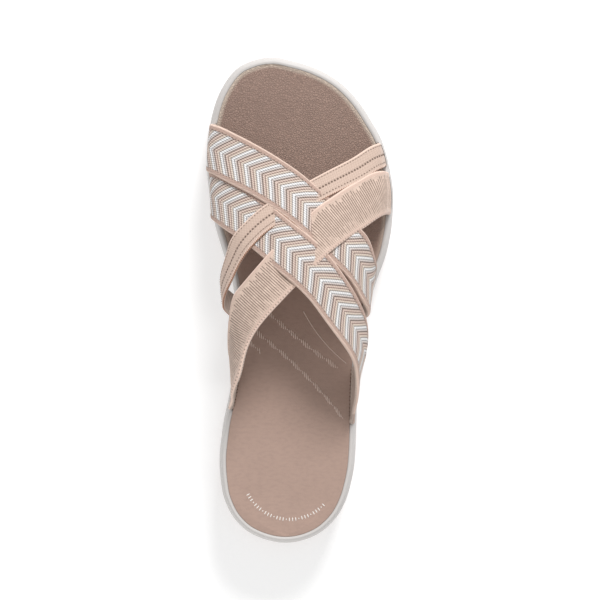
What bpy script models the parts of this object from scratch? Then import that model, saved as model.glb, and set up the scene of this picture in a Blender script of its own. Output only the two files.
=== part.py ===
"""Orthopedic cross-strap sandal for the right foot, in metres.

X runs across the foot, with the little toe's side at +X. Y runs from heel to toe, and Z up.
The origin is on the floor, in the middle of the sole's length and width.
A share along the shoe is 0 at the heel's end and 1 at the toe's end. A share across it is
a part of the sole's width, measured from the middle. A share around the foot is 0 where a
strap leaves the sole on the big toe's side, a half at the ridge and 1 on the other side.
"""

from functools import lru_cache
from math import pi

import bmesh
import bpy
import numpy as np

SOLE_LENGTH = 0.254
SOLE_WIDTH = 0.098
HEEL_HEIGHT = 0.031  # floor to footbed under the heel
BALL_HEIGHT = 0.0205  # floor to footbed under the ball of the foot
TOE_SPRING = 0.009  # how far the toe's end stands off the floor

OUTSOLE_THICKNESS = 0.005
OUTSOLE_INSET = 0.0022  # the outsole stays this far inside the midsole's widest line
OUTSOLE_EDGE = 0.001  # chamfer around the tread
ARCH_HOLLOW = 0.0025  # depth of the smooth patch under the arch
ARCH_PATCH_WIDTH = 0.025  # reach of that patch from the big toe's side inwards
ARCH_PATCH_LENGTH = 0.064
ARCH_PATCH_PLACE = 0.434  # its middle, as a share along the shoe

MIDSOLE_TUCK = 0.0016  # how far the side wall draws in above the outsole
RIM_WIDTH = 0.0036
RIM_STEP = 0.0006  # the rim stands this much over the footbed's edge

FOOTBED_THICKNESS = 0.005
FOOTBED_EDGE = 0.0008  # rounding of its upper edge
HEEL_CUP = 0.003
ARCH_SUPPORT = 0.004
ARCH_SUPPORT_WIDTH = 0.018
ARCH_SUPPORT_LENGTH = 0.034
ARCH_SUPPORT_PLACE = 0.42

INSTEP_HEIGHT = 0.052  # footbed to the middle of the straps at the throat
CHEVRON_BAND_WIDTH = 0.0235
NARROW_BAND_WIDTH = 0.0127
WIDE_BAND_WIDTH = 0.0225
BAND_THICKNESS = 0.0016
BINDING_WIDTH = 0.0028
BINDING_THICKNESS = 0.0022
BINDING_SLOPE = 0.0017  # half the width over which a binding slopes down to the weave
WEAVE_RAISE = 0.0006  # a strap rises this much over another, and sinks as much under it
WEAVE_MARGIN = 0.0015  # it keeps that height this far past the other strap's edges
WEAVE_FADE = 0.006  # and comes back over this length
FLARE_START = 0.0006  # straps stand straight up to this height over the rim

GAP = 0.0003  # clearance between pieces that touch

OUTLINE_POINTS = 361  # on each side of the sole
ROWS = 44
END_CROWDING = 0.8  # how much closer the rows lie at the round ends of the sole
SOLE_COLUMNS = 8
FOOTBED_COLUMNS = 10
BAND_STATIONS = 38
SLOT_STATIONS = 7
SHARP_ANGLE = pi / 5  # edges that turn more than this aren't shaded smooth


def table(columns, *rows):
    """A table of named columns, as one array for each name."""
    return dict(zip(columns.split(), np.array(rows, float).T))


OUTLINE = table(
    "along medial lateral",
    (0.000, -0.078, -0.078),
    (0.007, -0.186, 0.031),
    (0.016, -0.245, 0.086),
    (0.027, -0.292, 0.130),
    (0.068, -0.380, 0.221),
    (0.110, -0.417, 0.264),
    (0.170, -0.430, 0.293),
    (0.235, -0.414, 0.301),
    (0.320, -0.371, 0.306),
    (0.380, -0.350, 0.318),
    (0.440, -0.340, 0.345),
    (0.490, -0.346, 0.371),
    (0.540, -0.363, 0.411),
    (0.600, -0.413, 0.465),
    (0.660, -0.458, 0.493),
    (0.710, -0.483, 0.500),
    (0.785, -0.500, 0.472),
    (0.830, -0.495, 0.437),
    (0.870, -0.477, 0.380),
    (0.910, -0.449, 0.311),
    (0.950, -0.397, 0.208),
    (0.980, -0.327, 0.066),
    (0.994, -0.245, -0.058),
    (1.000, -0.153, -0.153),
)

# ground and lift are shares of the toe spring, wedge of the heel's height over the ball's,
# and cup of the heel cup's depth
PROFILE = table(
    "along ground wedge lift cup",
    (0.00, 0.25, 1.00, 0.00, 1.0),
    (0.04, 0.06, 1.00, 0.00, 1.0),
    (0.09, 0.00, 0.97, 0.00, 1.0),
    (0.25, 0.00, 0.82, 0.00, 0.8),
    (0.40, 0.00, 0.46, 0.00, 0.5),
    (0.55, 0.00, 0.12, 0.00, 0.3),
    (0.68, 0.00, 0.00, 0.00, 0.2),
    (0.76, 0.00, 0.00, 0.03, 0.2),
    (0.86, 0.22, 0.00, 0.16, 0.2),
    (0.94, 0.62, 0.00, 0.38, 0.2),
    (1.00, 1.00, 0.00, 0.55, 0.2),
)
HEEL_CUP_END = 0.12  # the cup rises behind this place along the shoe

# rise is a share of the wall's height, and tuck and rim say how far the wall draws in
WALL = table(
    "rise tuck rim",
    (0.00, 1.00, 0.00),
    (0.22, 0.35, 0.00),
    (0.50, 0.00, 0.00),
    (0.78, 0.00, 0.10),
    (0.93, 0.00, 0.33),
    (1.00, 0.00, 0.66),
    (0.98, 0.00, 1.00),
)

# The foot's form under the straps: height is a share of the instep's height
LAST = table(
    "along height medial lateral ridge",
    (0.20, 1.08, -0.352, 0.255, -0.030),
    (0.28, 1.05, -0.354, 0.291, -0.035),
    (0.34, 1.02, -0.359, 0.312, -0.040),
    (0.40, 1.00, -0.371, 0.346, -0.045),
    (0.46, 0.97, -0.393, 0.357, -0.050),
    (0.52, 0.94, -0.413, 0.380, -0.055),
    (0.58, 0.89, -0.424, 0.403, -0.060),
    (0.65, 0.78, -0.467, 0.447, -0.065),
    (0.72, 0.65, -0.478, 0.459, -0.075),
    (0.78, 0.53, -0.481, 0.438, -0.090),
    (0.86, 0.40, -0.463, 0.390, -0.110),
    (0.92, 0.32, -0.430, 0.315, -0.130),
)
WIDEST_RISE = 0.34  # where the last is widest, as a share of its height
WIDEST_TURN = 0.25  # and as a share of the way from the sole to the ridge

FRONT_CHEVRON = table(
    "around along",
    (0.00, 0.818),
    (0.15, 0.815),
    (0.32, 0.790),
    (0.475, 0.736),
    (0.60, 0.653),
    (0.70, 0.591),
    (0.83, 0.528),
    (1.00, 0.511),
)
REAR_CHEVRON = table(
    "around along",
    (0.00, 0.695),
    (0.15, 0.693),
    (0.31, 0.671),
    (0.43, 0.629),
    (0.56, 0.559),
    (0.72, 0.450),
    (0.80, 0.406),
    (0.90, 0.346),
    (1.00, 0.302),
)
NARROW_BAND = table(
    "around along",
    (0.00, 0.472),
    (0.125, 0.511),
    (0.25, 0.565),
    (0.32, 0.608),
    (0.435, 0.666),
    (0.565, 0.720),
    (0.70, 0.768),
    (0.845, 0.797),
    (1.00, 0.799),
)
WIDE_BAND = table(
    "around along",
    (0.00, 0.322),
    (0.125, 0.350),
    (0.225, 0.400),
    (0.295, 0.455),
    (0.40, 0.517),
    (0.605, 0.648),
    (0.705, 0.695),
    (0.83, 0.720),
    (1.00, 0.720),
)


def smooth(rows, column, at):
    """A table's column at the given places, on a curve that never overshoots its rows."""
    x, y = next(iter(rows.values())), rows[column]
    step = np.diff(x)
    slope = np.diff(y) / step
    before, after = slope[:-1], slope[1:]
    turns = before * after <= 0
    near, far = 2 * step[1:] + step[:-1], step[1:] + 2 * step[:-1]
    safe_before, safe_after = np.where(turns, 1, before), np.where(turns, 1, after)
    tangent = np.concatenate([
        slope[:1],
        np.where(turns, 0, (near + far) / (near / safe_before + far / safe_after)),
        slope[-1:],
    ])
    at = np.clip(at, x[0], x[-1])
    i = np.clip(np.searchsorted(x, at) - 1, 0, len(x) - 2)
    t = (at - x[i]) / step[i]
    return (
        y[i] * (1 + 2 * t) * (1 - t) ** 2
        + y[i + 1] * t * t * (3 - 2 * t)
        + step[i] * t * (1 - t) * (tangent[i] * (1 - t) - tangent[i + 1] * t)
    )


def share_along(y):
    return y / SOLE_LENGTH + 0.5


def turned(rows):
    """The outline's table by a turn that is even around the round ends of the sole."""
    turn = np.arccos(1 - 2 * rows["along"])
    return {"turn": turn, "medial": rows["medial"], "lateral": rows["lateral"]}


@lru_cache(maxsize=None)
def border(inset):
    """The outline drawn in by inset: places along Y, and X on the two sides of each."""
    turns = np.linspace(0, pi, OUTLINE_POINTS)
    along = (1 - np.cos(turns)) / 2
    sides = turned(OUTLINE)
    medial = SOLE_WIDTH * smooth(sides, "medial", turns)
    lateral = SOLE_WIDTH * smooth(sides, "lateral", turns)
    x = np.concatenate([medial, lateral[-2:0:-1]])
    y = SOLE_LENGTH * (np.concatenate([along, along[-2:0:-1]]) - 0.5)
    run_x, run_y = np.roll(x, -1) - np.roll(x, 1), np.roll(y, -1) - np.roll(y, 1)
    length = np.hypot(run_x, run_y)
    x, y = x + inset * run_y / length, y - inset * run_x / length
    heel, toe = np.argmin(y), np.argmax(y)
    x, y, toe = np.roll(x, -heel), np.roll(y, -heel), (toe - heel) % len(y)
    even = np.linspace(0, 1, ROWS + 1)
    rows = END_CROWDING * (1 - np.cos(pi * even)) / 2 + (1 - END_CROWDING) * even
    places = y[0] + rows * (y[toe] - y[0])
    medial = np.interp(places, y[: toe + 1], x[: toe + 1])
    lateral = np.interp(places, np.append(y[toe:], y[0])[::-1], np.append(x[toe:], x[0])[::-1])
    lateral[0], lateral[-1] = medial[0], medial[-1]
    return places, medial, lateral


def side_x(inset, y):
    """X of the inset outline's two sides at the given places along Y."""
    places, medial, lateral = border(inset)
    return np.interp(y, places, medial), np.interp(y, places, lateral)


def ground(x, y):
    """The underside: flat but for the toe's spring, the heel's end and the arch patch."""
    medial, _ = side_x(OUTSOLE_INSET, y)
    across = (x - medial) / ARCH_PATCH_WIDTH
    lengthwise = (share_along(y) - ARCH_PATCH_PLACE) * SOLE_LENGTH / (ARCH_PATCH_LENGTH / 2)
    inside = np.clip(1 - across**2 - lengthwise**2, 0, 1)
    return TOE_SPRING * smooth(PROFILE, "ground", share_along(y)) + ARCH_HOLLOW * inside


def footbed_top(x, y):
    """The insole's upper face, with its heel cup and arch support."""
    places, medial, lateral = border(RIM_WIDTH + GAP)
    y = np.clip(y, places[0], places[-1])
    medial, lateral = np.interp(y, places, medial), np.interp(y, places, lateral)
    half = np.maximum((lateral - medial) / 2, FOOTBED_EDGE)
    across = np.clip((x - (medial + lateral) / 2) / half, -1, 1)
    along = share_along(y)
    heel_end = share_along(places[0])
    behind = np.clip((HEEL_CUP_END - along) / (HEEL_CUP_END - heel_end), 0, 1)
    cup = np.minimum(np.hypot(across, behind), 1) ** 3
    arch = np.exp(
        -(((across + 1) * half / ARCH_SUPPORT_WIDTH) ** 2)
        - ((along - ARCH_SUPPORT_PLACE) * SOLE_LENGTH / ARCH_SUPPORT_LENGTH) ** 2
    )
    return (
        BALL_HEIGHT
        + (HEEL_HEIGHT - BALL_HEIGHT) * smooth(PROFILE, "wedge", along)
        + TOE_SPRING * smooth(PROFILE, "lift", along)
        + HEEL_CUP * cup * smooth(PROFILE, "cup", along)
        + ARCH_SUPPORT * arch
    )


def footbed_bottom(x, y):
    return footbed_top(x, y) - FOOTBED_THICKNESS


def deck(x, y):
    """The midsole's floor under the insole."""
    return footbed_bottom(x, y) - GAP


def rim_height(x, y):
    return footbed_top(x, y) + RIM_STEP


def midsole_bottom(x, y):
    return ground(x, y) + OUTSOLE_THICKNESS + GAP


def ring(inset, height):
    """One closed row of points around the sole, from the heel up the big toe's side."""
    y, medial, lateral = border(inset)
    x = np.concatenate([medial, lateral[-2:0:-1]])
    y = np.concatenate([y, y[-2:0:-1]])
    return np.column_stack([x, y, height(x, y)])


def new_object(name, mesh, colour, roughness):
    mesh.normal_update()
    data = bpy.data.meshes.new(name)
    mesh.to_mesh(data)
    mesh.free()
    material = bpy.data.materials.new(name)
    material.use_nodes = True
    surface = material.node_tree.nodes["Principled BSDF"]
    surface.inputs["Base Color"].default_value = (*colour, 1)
    surface.inputs["Roughness"].default_value = roughness
    surface.inputs["Metallic"].default_value = 0
    data.materials.append(material)
    data.shade_smooth()
    data.set_sharp_from_angle(angle=SHARP_ANGLE)
    made = bpy.data.objects.new(name, data)
    SANDAL.objects.link(made)
    return made


def fill(mesh, edge, height, columns, upwards):
    """Closes a ring with rows of faces across it, whose inner points take their height."""
    shares = np.arange(1, columns) / columns
    rows = [[edge[0]] * (columns + 1)]
    for left, right in zip(edge[1:ROWS], edge[:ROWS:-1]):
        x = left.co.x + (right.co.x - left.co.x) * shares
        y = np.full_like(x, left.co.y)
        inner = [mesh.verts.new(point) for point in zip(x, y, height(x, y))]
        rows.append([left, *inner, right])
    rows.append([edge[ROWS]] * (columns + 1))
    for low, high in zip(rows, rows[1:]):
        for j in range(columns):
            corners = [low[j], low[j + 1], high[j + 1], high[j]]
            corners = list(dict.fromkeys(corners if upwards else corners[::-1]))
            mesh.faces.new(corners)


def layered(rings, bottom, top, columns):
    """A closed mesh: walls through the rings from below, and both ends filled."""
    mesh = bmesh.new()
    loops = [[mesh.verts.new(point) for point in ring] for ring in rings]
    for low, high in zip(loops, loops[1:]):
        for i in range(len(low)):
            mesh.faces.new([low[i - 1], high[i - 1], high[i], low[i]])
    fill(mesh, loops[0], bottom, columns, upwards=False)
    fill(mesh, loops[-1], top, columns, upwards=True)
    bmesh.ops.triangulate(mesh, faces=mesh.faces)
    return mesh


def outsole():
    def top(x, y):
        return ground(x, y) + OUTSOLE_THICKNESS

    rings = [
        ring(OUTSOLE_INSET + OUTSOLE_EDGE, ground),
        ring(OUTSOLE_INSET, lambda x, y: ground(x, y) + OUTSOLE_EDGE),
        ring(OUTSOLE_INSET, top),
    ]
    mesh = layered(rings, ground, top, SOLE_COLUMNS)
    return new_object("outsole", mesh, (0.60, 0.42, 0.35), 0.65)


def midsole():
    rings = []
    for rise, tuck, rim in zip(WALL["rise"], WALL["tuck"], WALL["rim"]):

        def height(x, y, rise=rise):
            low = midsole_bottom(x, y)
            return low + rise * (rim_height(x, y) - low)

        rings.append(ring(tuck * MIDSOLE_TUCK + rim * RIM_WIDTH, height))
    rings.append(ring(RIM_WIDTH, deck))
    mesh = layered(rings, midsole_bottom, deck, SOLE_COLUMNS)
    return new_object("midsole", mesh, (0.88, 0.88, 0.87), 0.5)


def footbed():
    def shoulder(x, y):
        return footbed_top(x, y) - FOOTBED_EDGE

    inset = RIM_WIDTH + GAP
    rings = [
        ring(inset, footbed_bottom),
        ring(inset, shoulder),
        ring(inset + FOOTBED_EDGE, footbed_top),
    ]
    mesh = layered(rings, footbed_bottom, footbed_top, FOOTBED_COLUMNS)
    return new_object("footbed", mesh, (0.36, 0.23, 0.18), 0.8)


def seat_inset():
    """Straps stand in the slot with their outer face a gap away from the rim."""
    return RIM_WIDTH + GAP + BINDING_THICKNESS / 2


def strap_foot(y):
    """The two points where a strap starts to lean out, at each place along Y."""
    medial, lateral = side_x(seat_inset(), y)
    feet = []
    for x in (medial, lateral):
        feet.append(np.stack([x, y, rim_height(x, y) + FLARE_START], axis=-1))
    return feet


def last_point(around, y):
    """The middle of the straps' wall, on the form that they wrap."""
    around, y = np.broadcast_arrays(around, y)
    feet = strap_foot(y)
    along = share_along(y)
    ridge_x = SOLE_WIDTH * smooth(LAST, "ridge", along)
    ridge_z = footbed_top(ridge_x, y) + INSTEP_HEIGHT * smooth(LAST, "height", along)
    found = []
    for foot, side, turn in zip(feet, ("medial", "lateral"), (2 * around, 2 - 2 * around)):
        widest_x = SOLE_WIDTH * smooth(LAST, side, along)
        widest_z = foot[..., 2] + WIDEST_RISE * (ridge_z - foot[..., 2])
        low = np.clip(turn / WIDEST_TURN, 0, 1)
        high = np.clip((turn - WIDEST_TURN) / (1 - WIDEST_TURN), 0, 1) * pi / 2
        lean = low * low * (3 - 2 * low)
        x = foot[..., 0] + (widest_x - foot[..., 0]) * lean
        x = x + (ridge_x - widest_x) * (1 - np.cos(high))
        z = foot[..., 2] + (widest_z - foot[..., 2]) * low
        z = z + (ridge_z - widest_z) * np.sin(high)
        found.append(np.stack([x, y, z], axis=-1))
    return np.where((around < 0.5)[..., None], found[0], found[1])


def unit(vectors):
    return vectors / np.linalg.norm(vectors, axis=-1, keepdims=True)


def last_frame(around, y):
    """Directions on the last at a point: around it, along Y and outwards."""
    small_turn, small_step = 0.004, 0.0005
    ahead = last_point(np.clip(around + small_turn, 0, 1), y)
    behind = last_point(np.clip(around - small_turn, 0, 1), y)
    across = unit(ahead - behind)
    lengthwise = last_point(around, y + small_step) - last_point(around, y - small_step)
    lengthwise = lengthwise / (2 * small_step)
    return across, lengthwise, unit(np.cross(across, lengthwise))


def centre_line(path):
    """A strap's middle: shares around, places along Y, points, and length from its start."""
    around = np.linspace(0, 1, BAND_STATIONS + 1)
    y = SOLE_LENGTH * (smooth(path, "along", around) - 0.5)
    points = last_point(around, y)
    steps = np.linalg.norm(np.diff(points, axis=0), axis=1)
    return around, y, points, np.concatenate([[0], np.cumsum(steps)])


def crossing(path, other):
    """How far along its length a strap meets another."""
    around, y, _, length = centre_line(path)
    apart = y - SOLE_LENGTH * (smooth(other, "along", around) - 0.5)
    i = np.nonzero(np.diff(np.sign(apart)))[0][0]
    share = apart[i] / (apart[i] - apart[i + 1])
    return length[i] + share * (length[i + 1] - length[i])


def weave(path, meets):
    """A strap's lift off the last along its length, from (other path, its width, side)."""
    length = centre_line(path)[3]
    lift = np.zeros_like(length)
    for other, width, side in meets:
        past = np.abs(length - crossing(path, other)) - width / 2 - WEAVE_MARGIN
        t = np.clip(1 - past / WEAVE_FADE, 0, 1)
        lift += side * t * t * (3 - 2 * t)
    return WEAVE_RAISE * np.clip(lift, -1, 1)


def reach_along(path, width):
    """How far a strap reaches along Y on each side of its middle."""
    around, y, points, _ = centre_line(path)
    lengthwise = last_frame(around, y)[1]
    tangent = unit(np.gradient(points, axis=0))
    slant = lengthwise - tangent * np.sum(lengthwise * tangent, axis=1, keepdims=True)
    return width / 2 / np.linalg.norm(slant, axis=1)


def band(path, width, meets, binding, thickness):
    """A strap as a closed mesh: its wall over the last, with both ends set in their slots."""
    around, y, _, _ = centre_line(path)
    lift = weave(path, meets)
    reach = reach_along(path, width)
    edge = 1 - 2 * BINDING_WIDTH / width
    step = BINDING_SLOPE / width
    shares = np.array([-1, -edge - step, -edge + step, 0, edge - step, edge + step, 1])
    thick = np.array([binding, binding, thickness, thickness, thickness, binding, binding])
    if binding == thickness:
        shares, thick = shares[[0, 2, 3, 4, 6]], thick[[0, 2, 3, 4, 6]]
    place = y[:, None] + reach[:, None] * shares
    turn = np.repeat(around[:, None], len(shares), axis=1)
    middle = last_point(turn, place)
    outwards = last_frame(turn, place)[2]
    outer = middle + outwards * (lift[:, None] + thick / 2)[..., None]
    inner = middle + outwards * (lift[:, None] - thick / 2)[..., None]
    for end, outwards_x in ((0, -1.0), (-1, 1.0)):
        half = np.array([outwards_x, 0, 0]) * thick[:, None] / 2
        outer[end], inner[end] = middle[end] + half, middle[end] - half
    outer, inner = with_feet(outer), with_feet(inner)
    return wrapped(outer, inner)


def with_feet(face):
    """One face of a strap with a row added at each end, just over the midsole's deck."""
    feet = []
    for end in (0, -1):
        foot = face[end].copy()
        foot[:, 2] = deck(foot[:, 0], foot[:, 1]) + GAP
        feet.append(foot)
    return np.concatenate([feet[:1], face, feet[1:]])


def wrapped(outer, inner):
    """A closed mesh between two grids of points, with the first one outside."""
    mesh = bmesh.new()
    tops = [[mesh.verts.new(point) for point in row] for row in outer]
    lows = [[mesh.verts.new(point) for point in row] for row in inner]
    for i in range(len(tops) - 1):
        for j in range(len(tops[0]) - 1):
            mesh.faces.new([tops[i][j], tops[i + 1][j], tops[i + 1][j + 1], tops[i][j + 1]])
            mesh.faces.new([lows[i][j], lows[i][j + 1], lows[i + 1][j + 1], lows[i + 1][j]])
        for j, flip in ((0, False), (-1, True)):
            side = [tops[i][j], lows[i][j], lows[i + 1][j], tops[i + 1][j]]
            mesh.faces.new(side[::-1] if flip else side)
    for i, flip in ((0, True), (-1, False)):
        for j in range(len(tops[0]) - 1):
            end = [tops[i][j], lows[i][j], lows[i][j + 1], tops[i][j + 1]]
            mesh.faces.new(end[::-1] if flip else end)
    bmesh.ops.triangulate(mesh, faces=mesh.faces)
    bmesh.ops.recalc_face_normals(mesh, faces=mesh.faces)
    return mesh


def join(whole, piece, operation):
    modifier = whole.modifiers.new(piece.name, "BOOLEAN")
    modifier.object = piece
    modifier.operation = operation
    modifier.solver = "EXACT"


def helper(name, mesh):
    """A mesh that only cuts or joins another, and isn't part of the sandal itself."""
    made = new_object(name, mesh, (0.5, 0.5, 0.5), 0.5)
    SANDAL.objects.unlink(made)
    HELPERS.objects.link(made)
    made.hide_render = True
    made.display_type = "WIRE"
    return made


def slots(insole, name, path, width):
    """Cuts a strap's two slots, a gap wider than its ends, out through the footbed's edge."""
    half_slot = BINDING_THICKNESS / 2 + GAP
    y = centre_line(path)[1]
    reach = reach_along(path, width) + GAP
    for end, side, outwards_x in ((0, "medial", -1.0), (-1, "lateral", 1.0)):
        place = y[end] + reach[end] * np.linspace(-1, 1, SLOT_STATIONS)
        foot = strap_foot(place)[end]
        step = np.array([outwards_x, 0, 0]) * half_slot
        outer, inner = foot + 2 * step, foot - step
        rows = []
        for face in (outer, inner):
            low, high = face.copy(), face.copy()
            low[:, 2] = footbed_bottom(low[:, 0], low[:, 1]) - GAP
            high[:, 2] += GAP
            rows.append(np.stack([low, high]))
        cutter = helper(f"{name}_{side}_slot", wrapped(*rows))
        join(insole, cutter, "DIFFERENCE")


def upper():
    """Four straps, plain woven where they cross and joined into one wall."""
    over, under = 1, -1
    chevron, narrow, wide = CHEVRON_BAND_WIDTH, NARROW_BAND_WIDTH, WIDE_BAND_WIDTH
    thin, bound = BAND_THICKNESS, BINDING_THICKNESS
    front = [(NARROW_BAND, narrow, over), (WIDE_BAND, wide, under)]
    rear = [(NARROW_BAND, narrow, under), (WIDE_BAND, wide, over)]
    slim = [(FRONT_CHEVRON, chevron, under), (REAR_CHEVRON, chevron, over)]
    broad = [(FRONT_CHEVRON, chevron, over), (REAR_CHEVRON, chevron, under)]
    wall = new_object(
        "upper", band(FRONT_CHEVRON, chevron, front, bound, thin), (0.62, 0.52, 0.47), 0.85
    )
    others = {
        "rear_chevron": band(REAR_CHEVRON, chevron, rear, bound, thin),
        "narrow_band": band(NARROW_BAND, narrow, slim, thin, thin),
        "wide_band": band(WIDE_BAND, wide, broad, bound, thin),
    }
    for name, mesh in others.items():
        join(wall, helper(name, mesh), "UNION")
    return wall


def collection(name):
    made = bpy.data.collections.new(name)
    bpy.context.scene.collection.children.link(made)
    return made


for old in list(bpy.data.objects):
    bpy.data.objects.remove(old, do_unlink=True)
SANDAL = collection("Cross-strap sandal")
HELPERS = collection("Cutters")

outsole()
midsole()
insole = footbed()
for strap_name, strap_path, strap_width in (
    ("front_chevron", FRONT_CHEVRON, CHEVRON_BAND_WIDTH),
    ("rear_chevron", REAR_CHEVRON, CHEVRON_BAND_WIDTH),
    ("narrow_band", NARROW_BAND, NARROW_BAND_WIDTH),
    ("wide_band", WIDE_BAND, WIDE_BAND_WIDTH),
):
    slots(insole, strap_name, strap_path, strap_width)
upper()
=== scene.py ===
"""The looks of a right-foot cross-strap sandal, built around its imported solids, in metres.

X runs across the foot, with the little toe's side at +X. Y runs from heel to toe, and Z up.
A share along the shoe is 0 at the heel's end and 1 at the toe's end. A share across it is
a part of the sole's width, measured from the middle. A share around the foot is 0 where a
strap leaves the sole on the big toe's side, a half at the ridge and 1 on the other side.
"""

from math import ceil, pi, radians

import bmesh
import bpy
import numpy as np
from bpy.props import FloatProperty, FloatVectorProperty, IntProperty, PointerProperty
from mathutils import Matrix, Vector


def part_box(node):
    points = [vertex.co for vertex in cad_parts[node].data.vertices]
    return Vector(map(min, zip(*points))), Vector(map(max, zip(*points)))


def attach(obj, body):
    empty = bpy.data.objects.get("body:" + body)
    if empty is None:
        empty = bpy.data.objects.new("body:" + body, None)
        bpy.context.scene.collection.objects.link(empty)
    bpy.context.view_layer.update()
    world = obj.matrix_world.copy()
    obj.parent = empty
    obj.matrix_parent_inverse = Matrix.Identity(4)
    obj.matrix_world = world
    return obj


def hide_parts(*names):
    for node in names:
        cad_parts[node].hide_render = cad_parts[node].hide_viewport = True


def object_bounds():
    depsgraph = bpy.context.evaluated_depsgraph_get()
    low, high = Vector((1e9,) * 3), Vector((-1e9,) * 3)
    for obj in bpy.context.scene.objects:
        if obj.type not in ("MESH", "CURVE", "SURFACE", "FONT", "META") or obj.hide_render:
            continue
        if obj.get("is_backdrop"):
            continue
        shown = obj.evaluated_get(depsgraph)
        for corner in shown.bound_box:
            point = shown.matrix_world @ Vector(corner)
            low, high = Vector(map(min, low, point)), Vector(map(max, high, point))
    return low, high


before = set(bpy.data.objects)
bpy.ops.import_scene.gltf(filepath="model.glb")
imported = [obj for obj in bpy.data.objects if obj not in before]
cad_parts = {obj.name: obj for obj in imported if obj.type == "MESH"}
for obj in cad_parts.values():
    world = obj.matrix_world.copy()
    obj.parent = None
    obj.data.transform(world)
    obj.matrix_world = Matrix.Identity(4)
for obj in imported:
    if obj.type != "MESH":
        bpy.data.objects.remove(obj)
CAD_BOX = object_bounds()
SOLE_LOW, SOLE_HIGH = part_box("midsole")

bl_info = {
    "name": "Cross-strap sandal",
    "version": (1, 0, 0),
    "blender": (4, 5, 0),
    "location": "3D View > Sidebar > Sandal",
    "description": "Builds the webbing straps, footbed, foam sole and ribbed tread of a sandal",
    "category": "Object",
}

OUTLINE_POINTS = 721  # on each side of the sole
SOLE_ROWS = 360  # lines across the sole, in its foam and its footbed
END_CROWDING = 0.85  # how much closer the rows lie at the round ends of the sole
CENTRE_POINTS = 900  # along a strap's middle line
EDGE_POINTS = 6  # around a quarter of a rounded edge
STITCH_SIDES = 6
STITCH_PROFILE = ((-1, 0.4), (-0.6, 1), (0.6, 1), (1, 0.4))  # places along it, and its width there
PATH_SOFTNESS = 0.004  # kinks in a strap's path are rounded over about this length
UPRIGHT_LENGTH = 0.004  # a strap's face turns upright over this length, for its slot
EDGE_FADE = 0.0006  # from a strap's woven middle to its plain edge
SEAM_ENDS = 0.004  # the narrow strap's stitches stop this far from the sole
TOOTH_ENDS = (-0.98, -0.8)  # shares across that strap where its bound stitches begin and end
TOOTH_RISE = 0.38  # share of its thickness at which they lie over its middle
TRACE_STEP = 2000  # points measured at a time
FOOT_ROWS = 4  # rows of points down in a strap's slot
FOOT_STITCH_PLACE = 0.0013  # above the sole's edge
NOTCH_CORNER = 0.0006  # softness of the rim's notches at the straps' feet
BLUNT_END = 0.0004  # share of the outsole beyond the tread's first and last row
WAVE_PASSES = 12  # until the tread's rows lie on their waves
SHALLOW_GROOVE = 0.62  # depth of every second groove
ARCH_PATCH_EDGE = 0.15  # share of the arch's hollow over which the ridges fade

# Sizes of the grain in the materials, and the width of the footbed's painted edge highlight
SKIN_DEPTH = 0.00006
WRINKLE_SIZE = 0.0011
EDGE_HIGHLIGHT_WIDTH = 0.0024
BINDING_RIB = 0.0005
LINING_RIB = 0.0013

UP = np.array([0.0, 0.0, 1.0])


def table(columns, *rows):
    """A table of named columns, as one array for each name."""
    return dict(zip(columns.split(), np.array(rows, float).T))


OUTLINE = table(
    "along medial lateral",
    (0.000, -0.078, -0.078), (0.007, -0.186, 0.031), (0.016, -0.245, 0.086), (0.027, -0.292, 0.130),
    (0.068, -0.380, 0.221), (0.110, -0.417, 0.264), (0.170, -0.430, 0.293), (0.235, -0.414, 0.301),
    (0.320, -0.371, 0.306), (0.380, -0.350, 0.318), (0.440, -0.340, 0.345), (0.490, -0.346, 0.371),
    (0.540, -0.363, 0.411), (0.600, -0.413, 0.465), (0.660, -0.458, 0.493), (0.710, -0.483, 0.500),
    (0.785, -0.500, 0.472), (0.830, -0.495, 0.437), (0.870, -0.477, 0.380), (0.910, -0.449, 0.311),
    (0.950, -0.397, 0.208), (0.980, -0.327, 0.066), (0.994, -0.245, -0.058),
    (1.000, -0.153, -0.153),
)

# ground and lift are shares of the toe spring, wedge of the heel's height over the ball's,
# and cup of the heel cup's depth
PROFILE = table(
    "along ground wedge lift cup",
    (0.00, 0.25, 1.00, 0.00, 1.0), (0.04, 0.06, 1.00, 0.00, 1.0), (0.09, 0.00, 0.97, 0.00, 1.0),
    (0.25, 0.00, 0.82, 0.00, 0.8), (0.40, 0.00, 0.46, 0.00, 0.5), (0.55, 0.00, 0.12, 0.00, 0.3),
    (0.68, 0.00, 0.00, 0.00, 0.2), (0.76, 0.00, 0.00, 0.03, 0.2), (0.86, 0.22, 0.00, 0.16, 0.2),
    (0.94, 0.62, 0.00, 0.38, 0.2), (1.00, 1.00, 0.00, 0.55, 0.2),
)
HEEL_CUP_END = 0.12  # the cup rises behind this place along the shoe

# rise is a share of the wall's height, and tuck and rim say how far the wall draws in
WALL = table(
    "turn rise tuck rim",
    (0, 0.00, 1.00, 0.00), (1, 0.22, 0.35, 0.00), (2, 0.50, 0.00, 0.00), (3, 0.78, 0.00, 0.10),
    (4, 0.93, 0.00, 0.33), (5, 1.00, 0.00, 0.66), (6, 0.98, 0.00, 1.00),
)
WALL_RINGS = 18

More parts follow.
